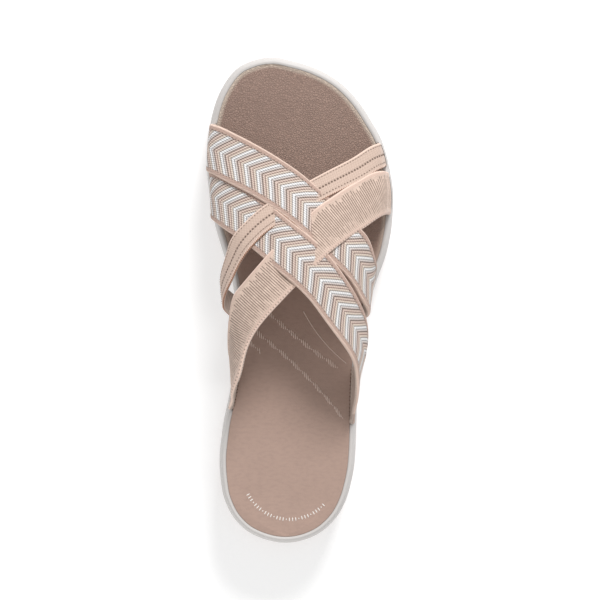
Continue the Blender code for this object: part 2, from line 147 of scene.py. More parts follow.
# The foot's form under the straps: height is a share of the instep's height
LAST = table(
    "along height medial lateral ridge",
    (0.20, 1.08, -0.352, 0.255, -0.030), (0.28, 1.05, -0.354, 0.291, -0.035),
    (0.34, 1.02, -0.359, 0.312, -0.040), (0.40, 1.00, -0.371, 0.346, -0.045),
    (0.46, 0.97, -0.393, 0.357, -0.050), (0.52, 0.94, -0.413, 0.380, -0.055),
    (0.58, 0.89, -0.424, 0.403, -0.060), (0.65, 0.78, -0.467, 0.447, -0.065),
    (0.72, 0.65, -0.478, 0.459, -0.075), (0.78, 0.53, -0.481, 0.438, -0.090),
    (0.86, 0.40, -0.463, 0.390, -0.110), (0.92, 0.32, -0.430, 0.315, -0.130),
)
WIDEST_RISE = 0.34  # where the last is widest, as a share of its height
WIDEST_TURN = 0.25  # and as a share of the way from the sole to the ridge

FRONT_CHEVRON = table(
    "around along",
    (0.00, 0.815), (0.15, 0.812), (0.32, 0.788), (0.475, 0.736), (0.60, 0.653), (0.70, 0.591),
    (0.83, 0.529), (0.92, 0.511), (1.00, 0.504),
)
REAR_CHEVRON = table(
    "around along",
    (0.00, 0.718), (0.15, 0.715), (0.31, 0.688), (0.43, 0.639), (0.56, 0.562), (0.72, 0.450),
    (0.80, 0.406), (0.90, 0.346), (1.00, 0.302),
)
NARROW_BAND = table(
    "around along",
    (0.00, 0.472), (0.125, 0.511), (0.25, 0.565), (0.32, 0.608), (0.435, 0.666), (0.565, 0.720),
    (0.70, 0.768), (0.845, 0.797), (1.00, 0.799),
)
WIDE_BAND = table(
    "around along",
    (0.00, 0.322), (0.125, 0.350), (0.225, 0.400), (0.295, 0.455), (0.40, 0.517), (0.605, 0.648),
    (0.705, 0.695), (0.83, 0.720), (1.00, 0.720),
)

# Colours across one repeat of the chevron weave: four threads and the gaps after them. Each thread's
# paler middle is a painted highlight on its crown, and the dark gaps are partly the yarn beneath and
# partly painted shade.
THREADS = (
    (0.00, (66, 52, 46)), (0.06, (206, 184, 172)), (0.13, (236, 216, 204)), (0.21, (214, 190, 178)),
    (0.25, (104, 72, 62)), (0.30, (222, 202, 188)), (0.38, (240, 226, 212)),
    (0.46, (208, 194, 182)), (0.50, (100, 86, 80)), (0.54, (234, 234, 234)),
    (0.62, (255, 255, 255)), (0.72, (240, 241, 243)), (0.76, (92, 90, 92)), (0.80, (218, 212, 210)),
    (0.87, (234, 226, 222)), (0.95, (190, 174, 166)), (1.00, (66, 52, 46)),
)
THREADS_A_REPEAT = 4
BEAD_SHIFT = 0.37  # a thread's beads lie this part of their pitch past its neighbour's

# How the tread's ridges wave over the sole: rise is how much further forward a ridge lies at
# its crest than at its trough, in mm, and trough and crest are where those are across
TREAD = table(
    "along rise trough crest",
    (0.00, 0.0, 0.19, -0.27), (0.043, 3.0, 0.19, -0.27), (0.084, 5.5, 0.19, -0.27),
    (0.128, 9.0, 0.19, -0.27), (0.167, 14.0, 0.19, -0.27), (0.237, 22.0, 0.19, -0.27),
    (0.30, 31.0, 0.20, -0.26), (0.405, 45.0, 0.22, -0.24), (0.525, 50.0, 0.25, -0.21),
    (0.615, 43.0, 0.27, -0.19), (0.70, 33.0, 0.28, -0.18), (0.76, 24.0, 0.28, -0.18),
    (0.823, 15.5, 0.28, -0.18), (0.92, 4.2, 0.28, -0.18), (1.00, 0.0, 0.28, -0.18),
)


def linear(red, green, blue):
    """A display colour from 0 to 255 as the linear one that shaders take."""
    shares = np.array([red, green, blue]) / 255
    low, high = shares / 12.92, ((shares + 0.055) / 1.055) ** 2.4
    return tuple(float(x) for x in np.where(shares <= 0.04045, low, high))


def number(name, description, default, kind=FloatProperty, **more):
    return kind(name=name, description=description, default=default, min=0, **more)


def length(name, description, default):
    return number(name, description, default, unit="LENGTH", precision=5)


def share(name, description, default):
    return number(name, description, default, max=1, subtype="FACTOR")


def colour(name, description, *display):
    default = linear(*display)
    return number(name, description, default, FloatVectorProperty, size=3, max=1, subtype="COLOR")


class SandalForm(bpy.types.PropertyGroup):
    """Sizes of the sole and of the foot that the straps wrap."""

    sole_length: length("Sole length", "Heel to toe", SOLE_HIGH.y - SOLE_LOW.y)
    sole_width: length("Sole width", "Across the ball of the foot", 0.098)
    heel_height: length("Heel height", "Floor to footbed under the heel", 0.031)
    ball_height: length("Ball height", "Floor to footbed under the ball of the foot", 0.0205)
    toe_spring: length("Toe spring", "How far the toe's end stands off the floor", 0.009)
    outsole_thickness: length("Outsole", "Thickness of the rubber", 0.005)
    outsole_inset: length("Outsole inset", "How far it stays inside the foam", 0.0022)
    outsole_edge: length("Outsole edge", "Rounding around the tread", 0.001)
    arch_hollow: length("Arch hollow", "Depth of the smooth patch under the arch", 0.0025)
    arch_patch_width: length("Arch patch width", "Its reach from the big toe's side", 0.025)
    arch_patch_length: length("Arch patch length", "Its length along the shoe", 0.064)
    arch_patch_place: share("Arch patch place", "Its middle along the shoe", 0.434)
    midsole_tuck: length("Midsole tuck", "How far the wall draws in at its foot", 0.0016)
    rim_width: length("Rim width", "Foam rim around the footbed", 0.0036)
    rim_step: length("Rim step", "The rim's height over the footbed's edge", 0.0003)
    footbed_thickness: length("Footbed", "Thickness of the insole", 0.005)
    footbed_edge: length("Footbed edge", "Rounding of its upper edge", 0.0004)
    heel_cup: length("Heel cup", "Depth of the cup around the heel", 0.003)
    arch_support: length("Arch support", "Its height at the big toe's side", 0.004)
    arch_support_width: length("Arch support width", "How far it reaches in", 0.018)
    arch_support_length: length("Arch support length", "How far it reaches along", 0.034)
    arch_support_place: share("Arch support place", "Its middle along the shoe", 0.42)
    instep_height: length("Instep height", "Footbed to the straps at the throat", 0.052)
    flare_start: length("Flare start", "Straps stand upright to here", 0.0006)
    seat_inset: length("Seat inset", "Sole's side to the middle of a strap's foot", 0.0021)
    gap: length("Gap", "Clearance between pieces that touch", 0.0003)
    seam: length("Seam", "Gap between the footbed and the rim", 0.00005)


class SandalWebbing(bpy.types.PropertyGroup):
    """Sizes of the four straps and their weave."""

    chevron_width: length("Chevron width", "Width of the two patterned straps", 0.0243)
    narrow_width: length("Narrow width", "Width of the stitched strap", 0.0127)
    wide_width: length("Wide width", "Width of the ribbed strap", 0.0225)
    thickness: length("Thickness", "Thickness of the webbing", 0.0016)
    binding_width: length("Binding width", "Plain woven edge", 0.0028)
    binding_thickness: length("Binding thickness", "Thickness of that edge", 0.0022)
    lift: length("Lift", "How far a strap rises over another", 0.00095)
    lift_margin: length("Lift margin", "It keeps that height past the other's edge", 0.0025)
    lift_fade: length("Lift fade", "And comes back over about this length", 0.0036)
    thread_pitch: length("Thread pitch", "Threads along the strap", 0.00192)
    thread_relief: length("Thread relief", "Height of a thread", 0.00028)
    bead_pitch: length("Bead pitch", "Waves along a thread", 0.00096)
    chevron_slope: number("Chevron slope", "A thread's fall along for its reach across", 0.84)
    rib_pitch: length("Rib pitch", "Cross ribs of the wide strap", 0.00122)
    rib_relief: length("Rib relief", "Half the height of those ribs", 0.0001)
    stitch_pitch: length("Stitch pitch", "Stitches of the narrow strap", 0.0018)
    tooth_pitch: length("Tooth pitch", "Bound stitches over its rear edge", 0.00105)
    foot_depth: length("Foot depth", "How far a strap goes down in its slot", 0.0035)
    padding_height: length("Padding height", "How far a foot's thicker lining reaches up", 0.0024)
    foot_stitch_pitch: length("Foot stitch pitch", "Stitches inside a strap's foot", 0.0017)
    spacing: length("Mesh spacing", "Distance between the points of a strap", 0.0003)


class SandalColours(bpy.types.PropertyGroup):
    """Colours of the materials."""

    foam: colour("Foam", "Midsole", 199, 195, 192)
    footbed: colour("Footbed", "Insole at the heel", 172, 146, 133)
    forefoot: colour("Forefoot", "Insole at the toe", 165, 138, 125)
    # Footbed edge colour: painted highlight, the paler band where the insole's rounded edge catches
    # the light towards the toe
    footbed_edge: colour("Footbed edge", "Worn soft edge of the insole", 212, 196, 180)
    ink: colour("Ink", "Marks printed on the insole", 226, 206, 194)
    heel_ink: colour("Heel ink", "Marks printed around the heel", 236, 230, 224)
    rubber: colour("Rubber", "Outsole", 196, 164, 149)
    tan: colour("Tan yarn", "Plain straps", 208, 185, 170)
    tan_shade: colour("Tan yarn in shade", "Between its ribs", 160, 134, 120)
    binding: colour("Binding yarn", "Edges of the patterned straps", 192, 163, 149)
    # Edge cord colour: partly the pale yarn's own colour and partly painted highlight on the straps'
    # rounded edges; the narrow strap's edging stitches also use it
    cord: colour("Edge cord", "Outermost line of a strap", 224, 198, 183)
    edge_yarn: colour("Edge yarn", "Dyed yarn under the narrow strap's edge", 150, 104, 78)
    seam: colour("Seam", "Stitches of the narrow strap", 124, 102, 90)
    stitch: colour("Stitch hole", "Stitches and gaps", 96, 76, 64)
    lining: colour("Lining", "Inner face of the straps", 206, 188, 176)


class SandalStage(bpy.types.PropertyGroup):
    """Camera, floor and lights."""

    frame_height: length("Frame height", "What the picture's height covers", 0.3129)
    lens: number("Lens", "Focal length in mm", 300)
    key: number("Key light", "Power in watts", 21.5)
    fill: number("Fill light", "Power in watts", 6.5)
    sky: number("Sky", "Strength of the even light", 0.54)
    floor_size: length("Floor size", "Side of the square floor", 6)
    floor: colour("Floor", "Pale floor", 215, 215, 215)
    glow: number("Glow", "Even light of the floor", 0.4)


SETTINGS = {
    "sandal_form": SandalForm,
    "sandal_webbing": SandalWebbing,
    "sandal_colours": SandalColours,
    "sandal_stage": SandalStage,
}


def smooth(rows, column, at):
    """A table's column at the given places, on a curve that never overshoots its rows."""
    x, y = next(iter(rows.values())), rows[column]
    step = np.diff(x)
    slope = np.diff(y) / step
    before, after = slope[:-1], slope[1:]
    turns = before * after <= 0
    near, far = 2 * step[1:] + step[:-1], step[1:] + 2 * step[:-1]
    safe_before, safe_after = np.where(turns, 1, before), np.where(turns, 1, after)
    tangent = np.concatenate([
        slope[:1],
        np.where(turns, 0, (near + far) / (near / safe_before + far / safe_after)),
        slope[-1:],
    ])
    at = np.clip(at, x[0], x[-1])
    i = np.clip(np.searchsorted(x, at) - 1, 0, len(x) - 2)
    t = (at - x[i]) / step[i]
    return (
        y[i] * (1 + 2 * t) * (1 - t) ** 2
        + y[i + 1] * t * t * (3 - 2 * t)
        + step[i] * t * (1 - t) * (tangent[i] * (1 - t) - tangent[i + 1] * t)
    )


def eased(value):
    """0 to 1 with soft ends."""
    t = np.clip(value, 0, 1)
    return t * t * (3 - 2 * t)


def unit(vectors):
    return vectors / np.linalg.norm(vectors, axis=-1, keepdims=True)


def softened(values, lengths, reach):
    """A curve along the given lengths with its kinks rounded, and its ends where they were."""
    even = np.linspace(0, lengths[-1], len(lengths))
    curve = np.interp(even, lengths, values)
    count = int(3 * reach / even[1])
    before = 2 * curve[0] - curve[count:0:-1]
    after = 2 * curve[-1] - curve[-2 : -count - 2 : -1]
    kernel = np.exp(-((np.arange(-count, count + 1) * even[1] / reach) ** 2) / 2)
    padded = np.concatenate([before, curve, after])
    return np.interp(lengths, even, np.convolve(padded, kernel / kernel.sum(), "valid"))


class Shoe:
    """The sandal's outline, the faces of its sole, and the last that its straps wrap."""

    def __init__(self, form):
        self.form = form
        self.borders = {}

    def share_along(self, y):
        return y / self.form.sole_length + 0.5

    def place(self, along):
        return self.form.sole_length * (along - 0.5)

    def border(self, inset):
        """The outline drawn in by inset: places along Y, and X on the two sides of each."""
        key = round(inset, 7)
        if key not in self.borders:
            self.borders[key] = self.traced_border(inset)
        return self.borders[key]

    def traced_border(self, inset):
        turns = np.linspace(0, pi, OUTLINE_POINTS)
        along = (1 - np.cos(turns)) / 2
        turn = np.arccos(1 - 2 * OUTLINE["along"])
        sides = {"turn": turn, "medial": OUTLINE["medial"], "lateral": OUTLINE["lateral"]}
        medial = self.form.sole_width * smooth(sides, "medial", turns)
        lateral = self.form.sole_width * smooth(sides, "lateral", turns)
        x = np.concatenate([medial, lateral[-2:0:-1]])
        y = self.place(np.concatenate([along, along[-2:0:-1]]))
        run_x, run_y = np.roll(x, -1) - np.roll(x, 1), np.roll(y, -1) - np.roll(y, 1)
        run = np.hypot(run_x, run_y)
        x, y = x + inset * run_y / run, y - inset * run_x / run
        heel, toe = np.argmin(y), np.argmax(y)
        x, y, toe = np.roll(x, -heel), np.roll(y, -heel), (toe - heel) % len(y)
        even = np.linspace(0, 1, SOLE_ROWS + 1)
        rows = END_CROWDING * (1 - np.cos(pi * even)) / 2 + (1 - END_CROWDING) * even
        places = y[0] + rows * (y[toe] - y[0])
        medial = np.interp(places, y[: toe + 1], x[: toe + 1])
        back_y, back_x = np.append(y[toe:], y[0])[::-1], np.append(x[toe:], x[0])[::-1]
        lateral = np.interp(places, back_y, back_x)
        lateral[0], lateral[-1] = medial[0], medial[-1]
        return places, medial, lateral

    def side_x(self, inset, y):
        """X of the inset outline's two sides at the given places along Y."""
        places, medial, lateral = self.border(inset)
        return np.interp(y, places, medial), np.interp(y, places, lateral)

    def arch_patch(self, x, y):
        """1 in the middle of the smooth patch under the arch, and 0 at its edge and beyond."""
        form = self.form
        medial, _ = self.side_x(form.outsole_inset, y)
        across = (x - medial) / form.arch_patch_width
        lengthwise = (self.share_along(y) - form.arch_patch_place) * form.sole_length
        return np.clip(1 - across**2 - (lengthwise / (form.arch_patch_length / 2)) ** 2, 0, 1)

    def ground(self, x, y):
        """The underside: flat but for the toe's spring, the heel's end and the arch patch."""
        spring = self.form.toe_spring * smooth(PROFILE, "ground", self.share_along(y))
        return spring + self.form.arch_hollow * self.arch_patch(x, y)

    def footbed_top(self, x, y):
        """The insole's upper face, with its heel cup and arch support."""
        form = self.form
        places, _, _ = self.border(form.rim_width + form.gap)
        y = np.clip(y, places[0], places[-1])
        medial, lateral = self.side_x(form.rim_width + form.gap, y)
        half = np.maximum((lateral - medial) / 2, form.footbed_edge)
        across = np.clip((x - (medial + lateral) / 2) / half, -1, 1)
        along = self.share_along(y)
        heel_end = self.share_along(places[0])
        behind = np.clip((HEEL_CUP_END - along) / (HEEL_CUP_END - heel_end), 0, 1)
        cup = np.minimum(np.hypot(across, behind), 1) ** 3
        reach = (along - form.arch_support_place) * form.sole_length / form.arch_support_length
        arch = np.exp(-(((across + 1) * half / form.arch_support_width) ** 2) - reach**2)
        return (
            form.ball_height
            + (form.heel_height - form.ball_height) * smooth(PROFILE, "wedge", along)
            + form.toe_spring * smooth(PROFILE, "lift", along)
            + form.heel_cup * cup * smooth(PROFILE, "cup", along)
            + form.arch_support * arch
        )

    def footbed_bottom(self, x, y):
        return self.footbed_top(x, y) - self.form.footbed_thickness

    def deck(self, x, y):
        """The midsole's floor under the insole."""
        return self.footbed_bottom(x, y) - self.form.gap

    def rim_height(self, x, y):
        return self.footbed_top(x, y) + self.form.rim_step

    def midsole_bottom(self, x, y):
        return self.ground(x, y) + self.form.outsole_thickness + self.form.gap

    def ring(self, inset, height, shift=None):
        """One closed row of points around the sole, from the heel up the big toe's side."""
        y, medial, lateral = self.border(inset)
        if shift:
            medial, lateral = medial + shift(y, 0), lateral - shift(y, 1)
        x = np.concatenate([medial, lateral[-2:0:-1]])
        y = np.concatenate([y, y[-2:0:-1]])
        return np.column_stack([x, y, height(x, y)])

    def last_point(self, around, y):
        """The middle of the straps' wall, on the form that they wrap."""
        around, y = np.broadcast_arrays(around, y)
        along = self.share_along(y)
        ridge_x = self.form.sole_width * smooth(LAST, "ridge", along)
        crown = self.form.instep_height * smooth(LAST, "height", along)
        ridge_z = self.footbed_top(ridge_x, y) + crown
        found = []
        feet = self.side_x(self.form.seat_inset, y)
        turns = (2 * around, 2 - 2 * around)
        for foot_x, side, turn in zip(feet, ("medial", "lateral"), turns):
            foot_z = self.rim_height(foot_x, y) + self.form.flare_start
            widest_x = self.form.sole_width * smooth(LAST, side, along)
            widest_z = foot_z + WIDEST_RISE * (ridge_z - foot_z)
            low = np.clip(turn / WIDEST_TURN, 0, 1)
            high = np.clip((turn - WIDEST_TURN) / (1 - WIDEST_TURN), 0, 1) * pi / 2
            x = foot_x + (widest_x - foot_x) * eased(low)
            x = x + (ridge_x - widest_x) * (1 - np.cos(high))
            z = foot_z + (widest_z - foot_z) * low + (ridge_z - widest_z) * np.sin(high)
            found.append(np.stack([x, y, z], axis=-1))
        return np.where((around < 0.5)[..., None], found[0], found[1])

    def last_frame(self, around, y):
        """Directions on the last at a point: along Y on its surface, and outwards."""
        small_turn, small_step = 0.004, 0.0005
        ahead = self.last_point(np.clip(around + small_turn, 0, 1), y)
        behind = self.last_point(np.clip(around - small_turn, 0, 1), y)
        front, back = self.last_point(around, y + small_step), self.last_point(around, y - small_step)
        lengthwise = (front - back) / (2 * small_step)
        return lengthwise, unit(np.cross(ahead - behind, lengthwise))


class Strap:
    """One strap: its middle line on the last, and the surface to both sides of it."""

    def __init__(self, shoe, path, width):
        self.shoe, self.width = shoe, width
        self.around = np.linspace(0, 1, CENTRE_POINTS)
        self.y = shoe.place(smooth(path, "along", self.around))
        self.measure()
        for _ in range(3):
            reached = np.interp(path["around"], self.around, self.length)
            keys = {"length": reached, "y": shoe.place(path["along"])}
            self.y = softened(smooth(keys, "y", self.length), self.length, PATH_SOFTNESS)
            self.measure()
        self.tangent = unit(np.gradient(self.points, axis=0))
        lengthwise, _ = shoe.last_frame(self.around, self.y)
        lean = np.sum(lengthwise * self.tangent, axis=1, keepdims=True)
        slant = np.linalg.norm(lengthwise - self.tangent * lean, axis=1)
        self.reach = softened(width / 2 / slant, self.length, PATH_SOFTNESS)  # along Y
        self.lift = np.zeros_like(self.length)

    def measure(self):
        """The middle line's points on the last, and how far along it each one lies."""
        self.points = self.shoe.last_point(self.around, self.y)
        steps = np.linalg.norm(np.diff(self.points, axis=0), axis=1)
        self.length = np.concatenate([[0], np.cumsum(steps)])

    def crossing(self, other):
        """How far along its length this strap meets another."""
        apart = self.y - other.y
        i = np.nonzero(np.diff(np.sign(apart)))[0][0]
        past = apart[i] / (apart[i] - apart[i + 1])
        return self.length[i] + past * (self.length[i + 1] - self.length[i])

    def woven(self, web, *meets, start=0.0):
        """Lifts the strap over one of the others that it meets and under the next.

        Start is the share of that lift which it already has at the big toe's side.
        """
        spans = []
        for other, side in meets:
            half = other.width / 2 + web.lift_margin
            spans.append([self.crossing(other) - half, self.crossing(other) + half, side])
        spans.sort()
        for near, far in zip(spans, spans[1:]):
            if near[1] > far[0]:
                near[1] = far[0] = (near[1] + far[0]) / 2
        for near, far, side in spans:
            rise = np.tanh((self.length - near) / web.lift_fade)
            fall = np.tanh((self.length - far) / web.lift_fade)
            self.lift = self.lift + web.lift * side * (rise - fall) / 2
        before = (1 - np.tanh((self.length - spans[0][0]) / web.lift_fade)) / 2
        from_foot = eased(self.length / (2 * web.lift_fade))
        self.lift = self.lift + web.lift * start * before * from_foot

    def at(self, column, along):
        return np.interp(along, self.length, column)

    def surface(self, along, shares):
        """A grid on the strap's middle face: points, outward directions and places along it."""
        place = self.at(self.y, along)[:, None] + self.at(self.reach, along)[:, None] * shares
        turn = np.repeat(self.at(self.around, along)[:, None], len(shares), axis=1)
        middle = self.shoe.last_point(turn, place)
        _, outwards = self.shoe.last_frame(turn, place)
        level = np.zeros_like(outwards)
        level[..., 0] = np.where(turn < 0.5, -1, 1)
        end = np.minimum(along, self.length[-1] - along) / UPRIGHT_LENGTH
        outwards = unit(level + (outwards - level) * eased(end)[:, None, None])
        middle = middle + unit(outwards + UP) * self.at(self.lift, along)[:, None, None]
        foot = along[:, None] + np.zeros_like(place)
        for _ in range(3):
            centre = np.stack([self.at(axis, foot) for axis in self.points.T], axis=-1)
            heading = np.stack([self.at(axis, foot) for axis in self.tangent.T], axis=-1)
            foot = foot + np.sum((middle - centre) * heading, axis=-1)
        return middle, outwards, foot


def grid_faces(rows, columns, closed=False):
    """Four-sided faces between neighbours in a grid of points that is stored row by row."""
    i, j = np.meshgrid(np.arange(rows - 1), np.arange(columns - (not closed)), indexing="ij")
    k = (j + 1) % columns
    corners = [i * columns + j, i * columns + k, (i + 1) * columns + k, (i + 1) * columns + j]
    return np.stack(corners, axis=-1).reshape(-1, 4)


def placed(name, data):
    """A new object in the scene."""
    made = bpy.data.objects.new(name, data)
    bpy.context.scene.collection.objects.link(made)
    return made


def piece(name, points, faces, materials, faces_of=None, uv=None, node=None):
    """A smooth-shaded piece of the sandal that rides with its body."""
    mesh = bpy.data.meshes.new(name)
    mesh.from_pydata(points, [], faces)
    mesh.update()
    if uv is not None:
        corners = np.empty(len(mesh.loops), int)
        mesh.loops.foreach_get("vertex_index", corners)
        layer = mesh.uv_layers.new(name="UVMap")
        layer.data.foreach_set("uv", np.asarray(uv, np.float32)[corners].ravel())
    for material in materials:
        mesh.materials.append(material)
    if faces_of is not None:
        mesh.polygons.foreach_set("material_index", np.asarray(faces_of, np.int32))
    mesh.shade_smooth()
    made = placed(name, mesh)
    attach(made, "root")
    if node:
        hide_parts(node)
    return made


def solid_of_rings(rings, bottom, top, columns):
    """Points and faces of a closed sole piece: walls through the rings, and both ends filled."""
    points = [np.concatenate(rings)]
    count = len(rings[0])
    faces = [grid_faces(len(rings), count, closed=True)[:, ::-1]]
    start = len(rings) * count
    rows = count // 2
    shares = np.arange(1, columns) / columns
    for ring, height, upwards in ((0, bottom, False), (len(rings) - 1, top, True)):
        edge = rings[ring]
        left, right = edge[1:rows], edge[:rows:-1]
        x = left[:, :1] + (right[:, :1] - left[:, :1]) * shares
        y = np.repeat(left[:, 1:2], columns - 1, axis=1)
        points.append(np.stack([x, y, height(x, y)], axis=-1).reshape(-1, 3))
        index = np.empty((rows + 1, columns + 1), int)
        index[0], index[rows] = ring * count, ring * count + rows
        index[1:rows, 0] = ring * count + np.arange(1, rows)
        index[1:rows, -1] = ring * count + count - np.arange(1, rows)
        index[1:rows, 1:-1] = start + np.arange((rows - 1) * (columns - 1)).reshape(rows - 1, -1)
        start += (rows - 1) * (columns - 1)
        quads = np.stack([index[:-1, :-1], index[:-1, 1:], index[1:, 1:], index[1:, :-1]], axis=-1)
        quads = quads.reshape(-1, 4)
        faces.append(quads if upwards else quads[:, ::-1])
    faces = [list(dict.fromkeys(face)) for face in np.concatenate(faces).tolist()]
    return np.concatenate(points), [face for face in faces if len(face) > 2]


class Field:
    """A value that nodes work out at each point of a surface, for use in plain sums."""

    def __init__(self, recipe, socket):
        self.recipe, self.socket = recipe, socket

    def math(self, operation, *others):
        return self.recipe.node("Math", 0, self, *others, setup={"operation": operation})

    def __add__(self, other):
        return self.math("ADD", other)

    def __sub__(self, other):
        return self.math("SUBTRACT", other)

    def __mul__(self, other):
        return self.math("MULTIPLY", other)

    def __truediv__(self, other):
        return self.math("DIVIDE", other)

    def __abs__(self):
        return self.math("ABSOLUTE")

    def sine(self):
        """The sine of a number of whole turns."""
        return (self * (2 * pi)).math("SINE")

    def scaled(self, low, high, soft=True):
        """The way from low to high, as 0 to 1."""
        kind = {"interpolation_type": "SMOOTHSTEP" if soft else "LINEAR"}
        return self.recipe.node(
            "MapRange", "Result", setup=kind, Value=self, From_Min=low, From_Max=high
        )


class Recipe:
    """Builds one material's nodes in few words."""

    MIX_A, MIX_B, MIX_RESULT = 6, 7, 2  # colour sockets of Blender's mix node

    def __init__(self, name, colour, roughness, **more):
        self.material = bpy.data.materials.new(name)
        self.material.use_nodes = True
        self.tree = self.material.node_tree
        self.shader = self.tree.nodes["Principled BSDF"]
        self.fill(self.shader, {"Base_Color": colour, "Roughness": roughness, **more})

    def feed(self, socket, value):
        if isinstance(value, Field):
            self.tree.links.new(value.socket, socket)
        else:
            socket.default_value = (*value, 1) if socket.type == "RGBA" else value

    def fill(self, node, inputs):
        for name, value in inputs.items():
            self.feed(node.inputs[name.replace("_", " ")], value)

    def node(self, kind, output, *values, setup=None, **inputs):
        """One output of a new node. Plain values go to its first sockets in turn."""
        made = self.tree.nodes.new("ShaderNode" + kind)
        for name, value in (setup or {}).items():
            setattr(made, name, value)
        for socket, value in zip(made.inputs, values):
            self.feed(socket, value)
        self.fill(made, inputs)
        return Field(self, made.outputs[output])

    def mix(self, factor, low, high, blend="MIX"):
        made = self.tree.nodes.new("ShaderNodeMix")
        made.data_type, made.blend_type = "RGBA", blend
        for socket, value in ((0, factor), (self.MIX_A, low), (self.MIX_B, high)):
            self.feed(made.inputs[socket], value)
        return Field(self, made.outputs[self.MIX_RESULT])

    def ramp(self, value, stops):
        made = self.node("ValToRGB", "Color", value)
        elements = made.socket.node.color_ramp.elements
        while len(elements) < len(stops):
            elements.new(1)
        for element, (place, display) in zip(elements, stops):
            element.position, element.color = place, (*linear(*display), 1)
        return made

    def place(self):
        """Object coordinates, in metres."""
        return self.node("TexCoord", "Object")

    def parts(self, vector):
        first = self.node("SeparateXYZ", 0, vector)
        return [Field(self, socket) for socket in first.socket.node.outputs]

    def uv(self):
        return self.parts(self.node("UVMap", "UV", setup={"uv_map": "UVMap"}))

    def noise(self, where, size, detail=2.0, rough=0.5):
        """Cloudy noise whose blobs are about size across."""
        return self.node(
            "TexNoise", "Fac", Vector=where, Scale=1 / size, Detail=detail, Roughness=rough
        )

    def warped(self, where, amount, reach):
        """A place pushed about by a noise, by up to half the reach."""
        shift = (amount - 0.5) * reach
        shift = self.node("CombineXYZ", 0, shift, shift * -0.7)
        return self.node("VectorMath", 0, where, shift, setup={"operation": "ADD"})

    def bump(self, height, distance, **more):
        return self.node("Bump", "Normal", Height=height, Distance=distance, Strength=1.0, **more)

    def finish(self, colour, normal):
        self.fill(self.shader, {"Base_Color": colour, "Normal": normal})
        return self.material


def colours():
    return bpy.context.scene.sandal_colours


def tinted(shade, by):
    return [min(1, by * part) for part in shade]


def moulded_material(name, shade, roughness, darkest, cloud, grain):
    """A moulded surface with faint clouds and a fine skin."""
    recipe = Recipe(name, shade, roughness)
    where = recipe.place()
    colour = recipe.mix(recipe.noise(where, cloud, 3.0), tinted(shade, darkest), shade)
    skin = recipe.noise(where, grain, 3.0)
    return recipe.finish(colour, recipe.bump(skin, SKIN_DEPTH))


def footbed_material():
    """Faux suede with a pebbled grain towards the toe, painted shade in the grain's creases and a
    painted highlight along its edge. UV holds the distance to its edge.
    """
    paint = colours()
    recipe = Recipe("footbed_suede", paint.footbed, 0.85, Sheen_Weight=0.15)
    where = recipe.place()
    x, y, _ = recipe.parts(where)
    to_edge = recipe.uv()[0]
    forefoot = y.scaled(0.0, 0.06)
    suede = recipe.mix(y.scaled(-0.08, 0.05), paint.footbed, paint.forefoot)
    dull = recipe.mix(1.0, suede, (0.9, 0.9, 0.9), "MULTIPLY")
    colour = recipe.mix(recipe.noise(where, 0.012, 4.0), dull, suede)
    squeezed = recipe.node("CombineXYZ", 0, x, y * 2.2)
    streaks = recipe.noise(squeezed, 0.0032, 4.0).scaled(0.4, 0.7)
    colour = recipe.mix(streaks, colour, (0.93, 0.93, 0.94), "MULTIPLY")
    ragged = recipe.warped(where, recipe.noise(where, 0.0016, 3.0), reach=0.0014)
    cell_edges = {"feature": "DISTANCE_TO_EDGE"}
    cells = recipe.node(
        "TexVoronoi", "Distance", setup=cell_edges, Vector=ragged, Scale=1 / WRINKLE_SIZE
    )
    wrinkles = cells.scaled(0.2, 0.0) * forefoot
    # Painted shade in the grain's creases: the colour darkens where the wrinkles' bump is lowest
    colour = recipe.mix(wrinkles * 0.3, colour, (0.5, 0.47, 0.45), "MULTIPLY")
    # Painted highlight along the footbed's rounded edge towards the toe, in the footbed edge colour
    edge_highlight = to_edge.scaled(EDGE_HIGHLIGHT_WIDTH, 0.0) * forefoot
    colour = recipe.mix(edge_highlight * 0.8, colour, paint.footbed_edge)
    nap = recipe.bump(recipe.noise(where, 0.0005, 4.0, 0.65), 0.00012)
    return recipe.finish(colour, recipe.bump(wrinkles * -1.0, 0.00026, Normal=nap))


def webbing_coordinates(recipe):
    """Places along and across a strap, and the distance from its middle line."""
    along, across, _ = recipe.uv()
    return along, across, abs(across)


def dots(along, pitch, aside, centre, radius):
    """A row of round dots along the strap, at a distance from its middle line."""
    from_dot = ((along / pitch).math("FRACT") - 0.5) * pitch
    off_line = aside - centre
    apart = (from_dot * from_dot + off_line * off_line).math("SQRT")
    return apart.scaled(radius * 1.3, radius * 0.6)


def plain_weave(along, across, pitch):
    """Height of a fine weave of crossed yarns, from 0 to 1."""
    return ((along / pitch).sine() * (across / pitch).sine()).scaled(-1.0, 1.0)


def edge_cord_and_highlight(recipe, colour, across, edge):
    """A strap's colour with the pale cord along its edge, which is partly the cord's own colour and
    partly a painted highlight where the rounded edge catches the light.
    """
    return recipe.mix(across.scaled(edge - 0.0011, edge - 0.0006), colour, colours().cord)


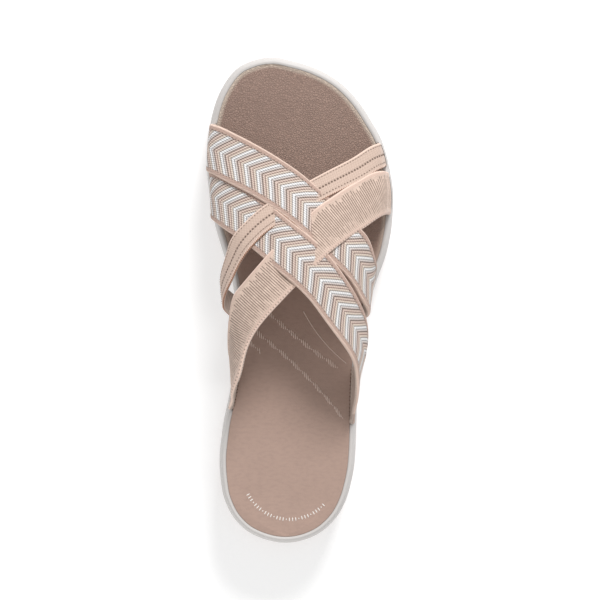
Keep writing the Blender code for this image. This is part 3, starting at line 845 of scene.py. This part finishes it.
def chevron_material(web):
    """Zigzag threads in four colours between two plain bindings."""
    paint = colours()
    recipe = Recipe("chevron_webbing", paint.tan, 0.75, Sheen_Weight=0.1)
    along, _, aside = webbing_coordinates(recipe)
    phase = (along - aside * web.chevron_slope) / web.thread_pitch
    threads = recipe.ramp((phase / THREADS_A_REPEAT).math("FRACT"), THREADS)
    shift = phase.math("FLOOR") * BEAD_SHIFT
    beads = (aside / web.bead_pitch + shift).sine().scaled(-1.0, 1.0)
    # Painted shade between the beads of each thread, where their bump is low
    threads = recipe.mix(beads * 0.55, threads, (0.42, 0.36, 0.33), "MULTIPLY")
    edge = web.chevron_width / 2
    inner_edge = edge - web.binding_width
    ribs = (along / BINDING_RIB).sine().scaled(-1.0, 1.0)
    binding = recipe.mix(ribs, tinted(paint.binding, 0.86), paint.binding)
    binding = edge_cord_and_highlight(recipe, binding, aside, edge)
    colour = recipe.mix(aside.scaled(inner_edge, inner_edge + 0.0002), threads, binding)
    holes = dots(along, web.thread_pitch, aside, inner_edge + 0.0002, radius=0.00045)
    colour = recipe.mix(holes * 0.7, colour, paint.stitch)
    return recipe.finish(colour, recipe.bump(ribs - beads, 0.00012))


def lining_material():
    """The plain inner face of the straps."""
    recipe = Recipe("strap_lining", colours().lining, 0.85)
    ribs = (recipe.uv()[0] / LINING_RIB).sine().scaled(-1.0, 1.0)
    colour = recipe.mix(ribs, tinted(colours().lining, 0.72), colours().lining)
    return recipe.finish(colour, recipe.bump(ribs, 0.0002))


def wide_material(web):
    """Tan elastic with ragged cross ribs between two smooth borders."""
    paint = colours()
    recipe = Recipe("ribbed_webbing", paint.tan, 0.8, Sheen_Weight=0.15)
    along, across, aside = webbing_coordinates(recipe)
    turn = along / web.rib_pitch
    chance = recipe.node(
        "TexWhiteNoise", "Value", setup={"noise_dimensions": "1D"}, W=turn.math("FLOOR")
    )
    edge = web.wide_width / 2
    inner_edge = edge - 0.0018
    to_front = (chance * -0.003 - across + inner_edge).scaled(0.0, 0.0006)
    to_rear = (across - chance * 0.006 + 0.009).scaled(-0.001, 0.001)
    inside = aside.scaled(inner_edge + 0.0002, inner_edge - 0.0006)
    grooves = turn.sine().scaled(0.1, -0.9)
    grooves = grooves * to_front * to_rear.scaled(-1.2, 1.0, soft=False) * inside
    beads = plain_weave(along, across, web.rib_pitch)
    yarn = recipe.mix(beads * 0.35, paint.tan, paint.tan_shade)
    mottled = recipe.noise(recipe.node("CombineXYZ", 0, along, across), 0.0035)
    yarn = recipe.mix(mottled.scaled(0.42, 0.72), yarn, tinted(paint.tan, 1.08))
    colour = recipe.mix(grooves * 0.72, yarn, paint.stitch)
    border = recipe.mix(0.5, paint.tan, paint.binding)
    colour = recipe.mix(inside, edge_cord_and_highlight(recipe, border, aside, edge), colour)
    holes = dots(along, web.stitch_pitch, across, 0.0007 - edge, radius=0.0004)
    colour = recipe.mix(holes * 0.6, colour, paint.stitch)
    return recipe.finish(colour, recipe.bump(beads * -0.4 - grooves, 0.00018))


def seam_lines(web):
    """Where the narrow strap's three rows of stitches lie across it."""
    edge = web.narrow_width / 2
    return 0.0, 0.0023 - edge, edge - 0.0014


def narrow_material(web):
    """Tan webbing with a stitched middle line and a dotted line beside its rear edge."""
    paint = colours()
    recipe = Recipe("stitched_webbing", paint.tan, 0.8, Sheen_Weight=0.15)
    along, across, aside = webbing_coordinates(recipe)
    weave = plain_weave(along, across, web.rib_pitch)
    colour = recipe.mix(weave * 0.6, paint.tan, paint.tan_shade)
    colour = recipe.mix(aside.scaled(0.0009, 0.0) * 0.3, colour, paint.tan_shade)
    edge = web.narrow_width / 2
    colour = edge_cord_and_highlight(recipe, colour, across, edge + 0.0001)
    dyed = across.scaled(0.0007 - edge, 0.0004 - edge)
    colour = recipe.mix(dyed, colour, paint.edge_yarn)
    looks = ((0.0005, 0.55), (0.00045, 0.5), (0.0003, 0.4))
    rows = []
    for line, (radius, strength) in zip(seam_lines(web), looks):
        rows.append(dots(along, web.stitch_pitch, across, line, radius))
        colour = recipe.mix(rows[-1] * strength, colour, paint.stitch)
    return recipe.finish(colour, recipe.bump(weave * 0.5 - rows[0], 0.0002))


def yarn_material(name, shade):
    """Thread with fine twists."""
    recipe = Recipe(name, shade, 0.8, Sheen_Weight=0.1)
    twist = recipe.noise(recipe.place(), 0.0003)
    colour = recipe.mix(twist, tinted(shade, 0.75), tinted(shade, 1.15))
    return recipe.finish(colour, recipe.bump(twist, 0.00008))


def shares_across(width, radius, spacing):
    """Shares across a strap, from -1 to 1, crowded over its rounded edges."""
    turn = np.linspace(0, pi / 2, EDGE_POINTS)
    edge = radius * (1 - np.cos(turn))
    count = int(ceil((width - 2 * radius) / spacing))
    middle = np.linspace(radius, width - radius, count + 1)[1:-1]
    return np.concatenate([edge, middle, (width - edge)[::-1]]) / (width / 2) - 1


def rounded(width, radius, shares):
    """How much of its thickness a strap has at each share, which is none at its very edge."""
    from_edge = np.clip((1 - np.abs(shares)) * width / 2 / radius, 0, 1)
    return np.sqrt(np.clip(1 - (1 - from_edge) ** 2, 0, 1))


def foot_padding(strap, along):
    """How much thicker the lining gets where a strap's foot meets the footbed."""
    form, web = strap.shoe.form, bpy.context.scene.sandal_webbing
    room = form.rim_width - form.seat_inset - web.thickness / 2
    from_foot = np.minimum(along, strap.length[-1] - along)
    return room * eased(1.6 - from_foot / web.padding_height)


def strap_piece(name, strap, materials, relief, edge_thickness, step, columns=1):
    """A strap as a closed piece: outer face with its relief, plain inner face, and two feet.

    Its points lie a step apart along it and so many columns' spacings apart across it.
    """
    web = bpy.context.scene.sandal_webbing
    radius = edge_thickness / 2
    outer = shares_across(strap.width, radius, columns * web.spacing)
    inner = shares_across(strap.width, radius, 8 * web.spacing)[1:-1][::-1]
    shares = np.concatenate([outer, inner])
    inside = np.arange(len(shares)) >= len(outer)
    total = strap.length[-1]
    along = np.linspace(0, total, int(ceil(total / step)) + 1)
    middle, outwards, foot = strap.surface(along, shares)
    across = shares * strap.width / 2
    inner_edge = strap.width / 2 - web.binding_width
    bound = eased((np.abs(across) - inner_edge) / EDGE_FADE + 0.5)
    half = web.thickness / 2 + (edge_thickness - web.thickness) / 2 * bound
    offset = half * rounded(strap.width, radius, shares) * np.where(inside, -1, 1)
    raised = np.where(inside, 0, relief(foot, across) * (1 - bound))
    raised = raised - inside * foot_padding(strap, along)[:, None]
    face = middle + outwards * (offset + raised)[..., None]
    depths = np.linspace(web.foot_depth, 0, FOOT_ROWS + 1)[:-1, None]
    down = depths[..., None] * UP
    points = np.concatenate([face[:1] - down, face, face[-1:] - down[::-1]])
    places = np.concatenate([foot[:1] - depths, foot, foot[-1:] + depths[::-1]])
    count, columns = points.shape[:2]
    faces = grid_faces(count, columns, closed=True)[:, ::-1]
    lining = np.tile(inside | np.roll(inside, -1), count - 1)
    caps = [list(range(columns)), list(range((count - 1) * columns, count * columns))[::-1]]
    uv = np.stack([places, np.broadcast_to(across, places.shape)], axis=-1)
    return piece(name, points.reshape(-1, 3), faces.tolist() + caps, materials,
                 faces_of=np.concatenate([lining, [1, 1]]), uv=uv.reshape(-1, 2),
                 node="upper")


def stitches(name, centres, directions, half_length, radius, material, node):
    """A short rounded piece of yarn at each centre, lying along its direction."""
    heading = unit(directions)
    side = unit(np.cross(heading, UP + [0.1, 0.2, 0.0]))  # no stitch lies along this slant
    other = np.cross(heading, side)
    turns = np.arange(STITCH_SIDES) * 2 * pi / STITCH_SIDES
    around = side[:, None] * np.cos(turns)[:, None] + other[:, None] * np.sin(turns)[:, None]
    rings = []
    for step, width in STITCH_PROFILE:
        centre = (centres + heading * step * np.reshape(half_length, (-1, 1)))[:, None]
        rings.append(centre + around * width * radius)
    points = np.stack(rings, axis=1)
    each = points.shape[1] * STITCH_SIDES
    faces = grid_faces(len(rings), STITCH_SIDES, closed=True)
    ends = [list(range(STITCH_SIDES))[::-1], list(range(each - STITCH_SIDES, each))]
    every = []
    for start in range(0, len(centres) * each, each):
        every += (faces + start).tolist() + [[i + start for i in end] for end in ends]
    return piece(name, points.reshape(-1, 3), every, [material], node=node)


def straps():
    """The four straps with their lifts: front chevron, rear chevron, narrow and wide."""
    shoe, web = Shoe(bpy.context.scene.sandal_form), bpy.context.scene.sandal_webbing
    over, under = 1, -1
    front = Strap(shoe, FRONT_CHEVRON, web.chevron_width)
    rear = Strap(shoe, REAR_CHEVRON, web.chevron_width)
    narrow = Strap(shoe, NARROW_BAND, web.narrow_width)
    wide = Strap(shoe, WIDE_BAND, web.wide_width)
    front.woven(web, (narrow, over), (wide, under), start=1.0)
    rear.woven(web, (narrow, under), (wide, over), start=-1.1)
    narrow.woven(web, (front, under), (rear, over))
    wide.woven(web, (front, over), (rear, under))
    return front, rear, narrow, wide


class Undoable:
    """What all the operators share."""

    bl_options = {"REGISTER", "UNDO"}


class SANDAL_OT_chevron_straps(Undoable, bpy.types.Operator):
    """Weaves the two straps with the zigzag pattern"""

    bl_idname = "sandal.chevron_straps"
    bl_label = "Chevron straps"

    def execute(self, context):
        web = context.scene.sandal_webbing

        def threads(along, across):
            aside = np.abs(across)
            phase = (along - web.chevron_slope * aside) / web.thread_pitch
            crown = 1 - (2 * (phase % 1) - 1) ** 2
            turn = aside / web.bead_pitch + BEAD_SHIFT * np.floor(phase)
            beads = (1 - np.sin(2 * pi * turn)) / 2
            return web.thread_relief * (crown * (0.6 + 0.4 * beads) - 0.5)

        front, rear, _, _ = straps()
        materials = [chevron_material(web), lining_material()]
        for name, strap in (("front_chevron_strap", front), ("rear_chevron_strap", rear)):
            strap_piece(name, strap, materials, threads, web.binding_thickness, web.spacing)
        return {"FINISHED"}


class SANDAL_OT_plain_straps(Undoable, bpy.types.Operator):
    """Makes the narrow stitched strap and the wide ribbed one"""

    bl_idname = "sandal.plain_straps"
    bl_label = "Plain straps"

    def execute(self, context):
        web = context.scene.sandal_webbing

        def stitched(along, across):
            """A dip at each stitch of the middle row, in a shallow groove."""
            from_stitch = ((along / web.stitch_pitch) % 1 - 0.5) * web.stitch_pitch
            dip = np.exp(-((from_stitch / 0.0004) ** 2) - (across / 0.0004) ** 2)
            return -0.0002 * dip - 0.00015 * np.exp(-((across / 0.0006) ** 2))

        def ribbed(along, across):
            return web.rib_relief * np.sin(2 * pi * along / web.rib_pitch)

        _, _, narrow, wide = straps()
        narrow_looks = [narrow_material(web), lining_material()]
        strap_piece("narrow_strap", narrow, narrow_looks, stitched, web.thickness, web.spacing)
        wide_looks = [wide_material(web), lining_material()]
        rib_step = web.rib_pitch / 4
        strap_piece("wide_strap", wide, wide_looks, ribbed, web.binding_thickness, rib_step, 2)
        self.sew_seams(narrow, web)
        self.sew_edge(narrow, web)
        return {"FINISHED"}

    def sew_seams(self, narrow, web):
        """Three rows of stitches along the narrow strap."""
        along = np.arange(SEAM_ENDS, narrow.length[-1] - SEAM_ENDS, web.stitch_pitch)
        along = (along // web.stitch_pitch + 0.5) * web.stitch_pitch
        centres, headings = [], []
        for across in seam_lines(web):
            middle, outwards, _ = narrow.surface(along, np.array([2 * across / web.narrow_width]))
            centres.append((middle + outwards * web.thickness / 2)[:, 0])
            headings.append(np.gradient(middle[:, 0], axis=0))
        yarn = yarn_material("stitch_yarn", colours().seam)
        stitches("narrow_strap_seams", np.concatenate(centres), np.concatenate(headings),
                 half_length=0.00042, radius=0.0002, material=yarn, node="upper")

    def sew_edge(self, narrow, web):
        """Stitches bound over the narrow strap's rear edge."""
        along = np.arange(SEAM_ENDS, narrow.length[-1] - SEAM_ENDS, web.tooth_pitch)
        middle, outwards, _ = narrow.surface(along, np.array(TOOTH_ENDS))
        teeth = middle + outwards * web.thickness * TOOTH_RISE
        yarn = yarn_material("edging_yarn", colours().cord)
        stitches("narrow_strap_edge", teeth.mean(1), teeth[:, 1] - teeth[:, 0],
                 half_length=0.0007, radius=0.0003, material=yarn, node="upper")


class SANDAL_OT_footbed(Undoable, bpy.types.Operator):
    """Moulds the footbed with its heel cup and arch support"""

    bl_idname = "sandal.footbed"
    bl_label = "Footbed"

    columns: number("Columns", "Points across", 64, IntProperty)

    def execute(self, context):
        form = context.scene.sandal_form
        shoe = Shoe(form)
        inset = form.rim_width + form.seam
        rings = [shoe.ring(inset, shoe.footbed_bottom)]
        for angle in np.linspace(0, pi / 2, EDGE_POINTS):
            drop = form.footbed_edge * (1 - np.sin(angle))
            rings.append(shoe.ring(
                inset + form.footbed_edge * (1 - np.cos(angle)),
                lambda x, y, drop=drop: shoe.footbed_top(x, y) - drop,
            ))
        top, bottom = shoe.footbed_top, shoe.footbed_bottom
        points, faces = solid_of_rings(rings, bottom, top, self.columns)
        to_edge = self.distance_to(points, rings[-1][:, :2])
        uv = np.column_stack([to_edge, np.zeros_like(to_edge)])
        piece("moulded_footbed", points, faces, [footbed_material()],
              uv=uv, node="footbed")
        return {"FINISHED"}

    def distance_to(self, points, edge):
        """Each point's distance to the nearest of a row of points, seen from above."""
        found = []
        for start in range(0, len(points), TRACE_STEP):
            apart = points[start : start + TRACE_STEP, None, :2] - edge
            found.append(np.sqrt((apart**2).sum(-1).min(1)))
        return np.concatenate(found)


class SANDAL_OT_print(Undoable, bpy.types.Operator):
    """Prints bands of small ticks across the footbed and a row of bars around its heel"""

    bl_idname = "sandal.print"
    bl_label = "Print"

    tick: length("Tick", "Half the width of a tick", 0.00021)
    tick_pitch: length("Tick pitch", "Ticks along a band", 0.00137)
    bar: length("Bar", "Half the width of a bar at the heel", 0.0003)
    bar_pitch: length("Bar pitch", "Bars along their row", 0.00165)
    margin: length("Margin", "Bare edge of the footbed", 0.0065)

    # Each arc's centre and radius, and its first and last angle in degrees
    BANDS = (
        ((0.188, 0.213), 0.300, 217, 236),
        ((-0.170, -0.210), 0.243, 28, 60),
        ((0.188, 0.213), 0.318, 221, 229),
    )
    THIN_CURVE = ((0.078, 0.034), 0.086, 208, 246)
    HEEL_ROW = ((-0.0055, -0.0900), 0.0244, 208, 317)
    TICK_HEADING = np.radians([96])
    HALF_DOT, HALF_LONG_BAR, HALF_TICK_SWELL = 0.0004, 0.0010, 0.0015
    TICKS_A_WAVE = 6  # from one short tick to the next

    def execute(self, context):
        shoe = Shoe(context.scene.sandal_form)
        marks = []
        for band in self.BANDS:
            place, _, count = self.arc(*band, self.tick_pitch)
            swell = np.abs(np.sin(count * pi / self.TICKS_A_WAVE)) ** 1.5
            run = np.cos(self.TICK_HEADING), np.sin(self.TICK_HEADING)
            run = np.repeat(run, len(count), axis=1)
            marks.append([*place, *run, self.HALF_DOT + self.HALF_TICK_SWELL * swell])
        place, outwards, count = self.arc(*self.THIN_CURVE, 2 * self.HALF_DOT)
        run = -outwards[1], outwards[0]
        marks.append([*place, *run, np.full(len(count), self.HALF_DOT)])
        self.lay(shoe, "footbed_print", np.concatenate(marks, axis=1), self.tick, colours().ink)
        place, outwards, count = self.arc(*self.HEEL_ROW, self.bar_pitch)
        half = np.where(count % 4 == 3, self.HALF_DOT, self.HALF_LONG_BAR)
        bars = np.array([*place, *outwards, half])
        self.lay(shoe, "heel_print", bars, self.bar, colours().heel_ink)
        return {"FINISHED"}

    def arc(self, centre, radius, start, end, pitch):
        """Places at even steps along an arc, the directions from its centre, and a count."""
        turns = np.arange(radians(start), radians(end), pitch / radius)
        outwards = np.stack([np.cos(turns), np.sin(turns)])
        return np.array(centre)[:, None] + radius * outwards, outwards, np.arange(len(turns))

    def lay(self, shoe, name, marks, width, shade):
        """Lays marks on the footbed's upper face, inside its bare edge."""
        medial, lateral = shoe.side_x(self.margin, marks[1])
        x, y, run_x, run_y, half = marks[:, (marks[0] > medial) & (marks[0] < lateral)]
        ends = []
        for side in (-1, 1):
            end_x, end_y = x + side * run_x * half, y + side * run_y * half
            ends.append(np.column_stack([end_x, end_y, shoe.footbed_top(end_x, end_y)]))
        stitches(name, (ends[0] + ends[1]) / 2, ends[1] - ends[0], half, width,
                 yarn_material(name, shade), "footbed")


class SANDAL_OT_midsole(Undoable, bpy.types.Operator):
    """Moulds the foam midsole with its bulged wall and its rim"""

    bl_idname = "sandal.midsole"
    bl_label = "Midsole"

    def execute(self, context):
        form, web = context.scene.sandal_form, context.scene.sandal_webbing
        shoe = Shoe(form)
        ends = [(strap, end, side) for strap in straps() for end, side in ((0, 0), (-1, 1))]
        kept = form.seat_inset - web.binding_thickness / 2

        def notched(inset):
            """How far a ring draws out to make room for the straps' feet."""

            def shift(y, side):
                room = np.zeros_like(y)
                for strap, end, foot_side in ends:
                    if foot_side == side:
                        past = np.abs(y - strap.y[end]) - strap.reach[end]
                        room = np.maximum(room, eased(-past / NOTCH_CORNER))
                return -room * max(0, inset - kept)

            return shift

        rings = []
        for turn in np.linspace(WALL["turn"][0], WALL["turn"][-1], WALL_RINGS):
            rise, tuck, rim = (float(smooth(WALL, name, turn)) for name in ("rise", "tuck", "rim"))

            def height(x, y, rise=rise):
                low = shoe.midsole_bottom(x, y)
                return low + rise * (shoe.rim_height(x, y) - low)

            inset = tuck * form.midsole_tuck + rim * form.rim_width
            rings.append(shoe.ring(inset, height, notched(inset)))
        rings.append(shoe.ring(form.rim_width, shoe.deck, notched(form.rim_width)))
        points, faces = solid_of_rings(rings, shoe.midsole_bottom, shoe.deck, 8)
        foam = moulded_material(
            "moulded_foam", colours().foam, 0.55, darkest=0.97, cloud=0.02, grain=0.0006
        )
        piece("foam_midsole", points, faces, [foam], node="midsole")
        return {"FINISHED"}


class SANDAL_OT_foot_stitches(Undoable, bpy.types.Operator):
    """Sews the straps' feet down inside the sandal"""

    bl_idname = "sandal.foot_stitches"
    bl_label = "Foot stitches"

    def execute(self, context):
        web = context.scene.sandal_webbing
        centres, headings = [], []
        for strap in straps():
            count = int(strap.width / web.foot_stitch_pitch)
            shares = (np.arange(count) + 0.5) / count * 1.9 - 0.95
            for place in (FOOT_STITCH_PLACE, strap.length[-1] - FOOT_STITCH_PLACE):
                along = np.array([place])
                middle, outwards, _ = strap.surface(along, shares)
                padded = web.thickness / 2 + foot_padding(strap, along)[0]
                centres.append((middle - outwards * padded)[0])
                headings.append(outwards[0])
        yarn = yarn_material("foot_yarn", colours().stitch)
        stitches("foot_stitches", np.concatenate(centres), np.concatenate(headings),
                 half_length=0.0006, radius=0.0003, material=yarn, node="upper")
        return {"FINISHED"}


class SANDAL_OT_outsole(Undoable, bpy.types.Operator):
    """Moulds the rubber outsole with its wavy tread and smooth arch patch"""

    bl_idname = "sandal.outsole"
    bl_label = "Outsole"

    ridges: number("Ridges", "Along the whole sole", 70, IntProperty)
    rows: number("Rows", "Points along each ridge's width", 8, IntProperty)
    columns: number("Columns", "Points across the sole", 84, IntProperty)
    depth: length("Depth", "Depth of the deeper grooves", 0.0014)
    margin: length("Margin", "Smooth band around the tread", 0.0015)
    fade: length("Fade", "Ridges reach their height over this length", 0.005)

    def execute(self, context):
        form = context.scene.sandal_form
        shoe = Shoe(form)
        inset = form.outsole_inset + form.outsole_edge
        base = np.linspace(BLUNT_END, 1 - BLUNT_END, self.ridges * self.rows + 1)[:, None]
        x, y = self.wavy_rows(shoe, inset, base)
        bottom = np.stack([x, y, self.relief(shoe, inset, base, x, y)], axis=-1)
        heel, toe = shoe.border(inset)[0][[0, -1]]
        left, right = [], []
        for wall_inset, rise in ((form.outsole_inset, form.outsole_edge),
                                 (form.outsole_inset, form.outsole_thickness)):
            wall_heel, wall_toe = shoe.border(wall_inset)[0][[0, -1]]
            for column, side, points in ((0, 0, left), (-1, 1, right)):
                share_along = (y[:, column] - heel) / (toe - heel)
                wall_y = wall_heel + share_along * (wall_toe - wall_heel)
                wall_x = shoe.side_x(wall_inset, wall_y)[side]
                height = shoe.ground(wall_x, wall_y) + rise
                points.append(np.stack([wall_x, wall_y, height], axis=-1)[:, None])
        loops = np.concatenate([*left[::-1], bottom, *right], axis=1)
        rows, columns = loops.shape[:2]
        faces = grid_faces(rows, columns, closed=True)[:, ::-1].tolist()
        faces += [list(range(columns)), list(range((rows - 1) * columns, rows * columns))[::-1]]
        rubber = moulded_material(
            "tread_rubber", colours().rubber, 0.6, darkest=0.9, cloud=0.015, grain=0.0008
        )
        piece("rubber_outsole", loops.reshape(-1, 3), faces, [rubber],
              node="outsole")
        return {"FINISHED"}

    def wavy_rows(self, shoe, inset, base):
        """Rows of points across the sole that follow the ridges."""
        heel, toe = shoe.border(inset)[0][[0, -1]]
        rise = smooth(TREAD, "rise", base) * 0.001
        trough = smooth(TREAD, "trough", base) * shoe.form.sole_width
        crest = smooth(TREAD, "crest", base) * shoe.form.sole_width
        shares = np.linspace(0, 1, self.columns + 1)
        y = np.repeat(heel + base * (toe - heel), len(shares), axis=1)
        level = y.copy()
        for _ in range(WAVE_PASSES):
            medial, lateral = shoe.side_x(inset, y)
            x = medial + (lateral - medial) * shares
            wave = (1 - np.cos(pi * (x - trough) / (crest - trough))) / 2
            aim = np.clip(level + rise * wave, heel, toe)
            y = (y + aim) / 2
        medial, lateral = shoe.side_x(inset, y)
        return medial + (lateral - medial) * shares, y

    def relief(self, shoe, inset, base, x, y):
        """Heights of the tread: rounded ridges that fade towards the edge and the arch."""
        phase = base * self.ridges
        share = np.where(np.round(phase) % 2 == 0, 1, SHALLOW_GROOVE)
        groove = (1 - np.abs(np.sin(pi * phase))) ** 1.5 * share
        medial, lateral = shoe.side_x(inset, y)
        heel, toe = shoe.border(inset)[0][[0, -1]]
        from_side = np.minimum(x - medial, lateral - x)
        from_edge = np.minimum(from_side, np.minimum(y - heel, toe - y))
        fade = eased((from_edge - self.margin) / self.fade)
        fade = fade * (1 - eased(shoe.arch_patch(x, y) / ARCH_PATCH_EDGE))
        return shoe.ground(x, y) + self.depth * groove * fade


class SANDAL_OT_stage(Undoable, bpy.types.Operator):
    """Sets up the camera over the sandal, the pale floor and the soft lights"""

    bl_idname = "sandal.stage"
    bl_label = "Stage"

    def execute(self, context):
        stage, form = context.scene.sandal_stage, context.scene.sandal_form
        context.scene.view_settings.view_transform = "Standard"
        self.add_camera(context, stage, form)
        self.add_floor(stage)
        middle = Vector((0, 0, form.heel_height))
        self.add_light("key", stage.key, 0.5, Vector((0.3, 1.15, 1.05)), middle)
        self.add_light("fill", stage.fill, 1.0, Vector((-0.4, -1.25, 0.8)), middle)
        world = bpy.data.worlds.new("sky")
        world.use_nodes = True
        sky = world.node_tree.nodes["Background"].inputs
        sky["Color"].default_value, sky["Strength"].default_value = (1, 1, 1, 1), stage.sky
        context.scene.world = world
        return {"FINISHED"}

    def add_camera(self, context, stage, form):
        data = bpy.data.cameras.new("camera")
        data.lens = stage.lens
        away = stage.frame_height * data.lens / data.sensor_width
        data.clip_start, data.clip_end = away / 100, away * 4
        context.scene.camera = placed("camera", data)
        context.scene.camera.location = (0, 0, form.heel_height + away)

    def add_floor(self, stage):
        mesh = bmesh.new()
        bmesh.ops.create_grid(mesh, x_segments=1, y_segments=1, size=stage.floor_size / 2)
        data = bpy.data.meshes.new("floor")
        mesh.to_mesh(data)
        mesh.free()
        white, glow = (1, 1, 1), stage.glow
        recipe = Recipe("pale_floor", stage.floor, 0.9, Emission_Color=white, Emission_Strength=glow)
        data.materials.append(recipe.material)
        floor = placed("floor", data)
        floor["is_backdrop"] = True

    def add_light(self, name, power, size, place, target):
        data = bpy.data.lights.new(name, "AREA")
        data.energy, data.size = power, size
        light = placed(name, data)
        light.location = place
        light.rotation_euler = (target - place).to_track_quat("-Z", "Y").to_euler()


OPERATORS = (
    SANDAL_OT_stage,
    SANDAL_OT_outsole,
    SANDAL_OT_midsole,
    SANDAL_OT_footbed,
    SANDAL_OT_print,
    SANDAL_OT_chevron_straps,
    SANDAL_OT_plain_straps,
    SANDAL_OT_foot_stitches,
)


class SANDAL_PT_build(bpy.types.Panel):
    """The sandal's sizes, its colours and a button for each of its pieces"""

    bl_idname = "SANDAL_PT_build"
    bl_label = "Cross-strap sandal"
    bl_space_type = "VIEW_3D"
    bl_region_type = "UI"
    bl_category = "Sandal"

    def draw(self, context):
        for operator in OPERATORS:
            self.layout.operator(operator.bl_idname)
        for setting, group in SETTINGS.items():
            box = self.layout.box()
            for name in group.__annotations__:
                box.prop(getattr(context.scene, setting), name)


CLASSES = (*SETTINGS.values(), *OPERATORS, SANDAL_PT_build)


def register():
    for each in CLASSES:
        bpy.utils.register_class(each)
    for name, group in SETTINGS.items():
        setattr(bpy.types.Scene, name, PointerProperty(type=group))


def unregister():
    for name in SETTINGS:
        delattr(bpy.types.Scene, name)
    for each in reversed(CLASSES):
        bpy.utils.unregister_class(each)


def corners(box):
    return [list(corner) for corner in box]


def main():
    register()
    for operator in OPERATORS:
        group, name = operator.bl_idname.split(".")
        getattr(getattr(bpy.ops, group), name)()
    {"cad": corners(CAD_BOX), "visual": corners(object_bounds())}


if __name__ == "__main__":
    main()
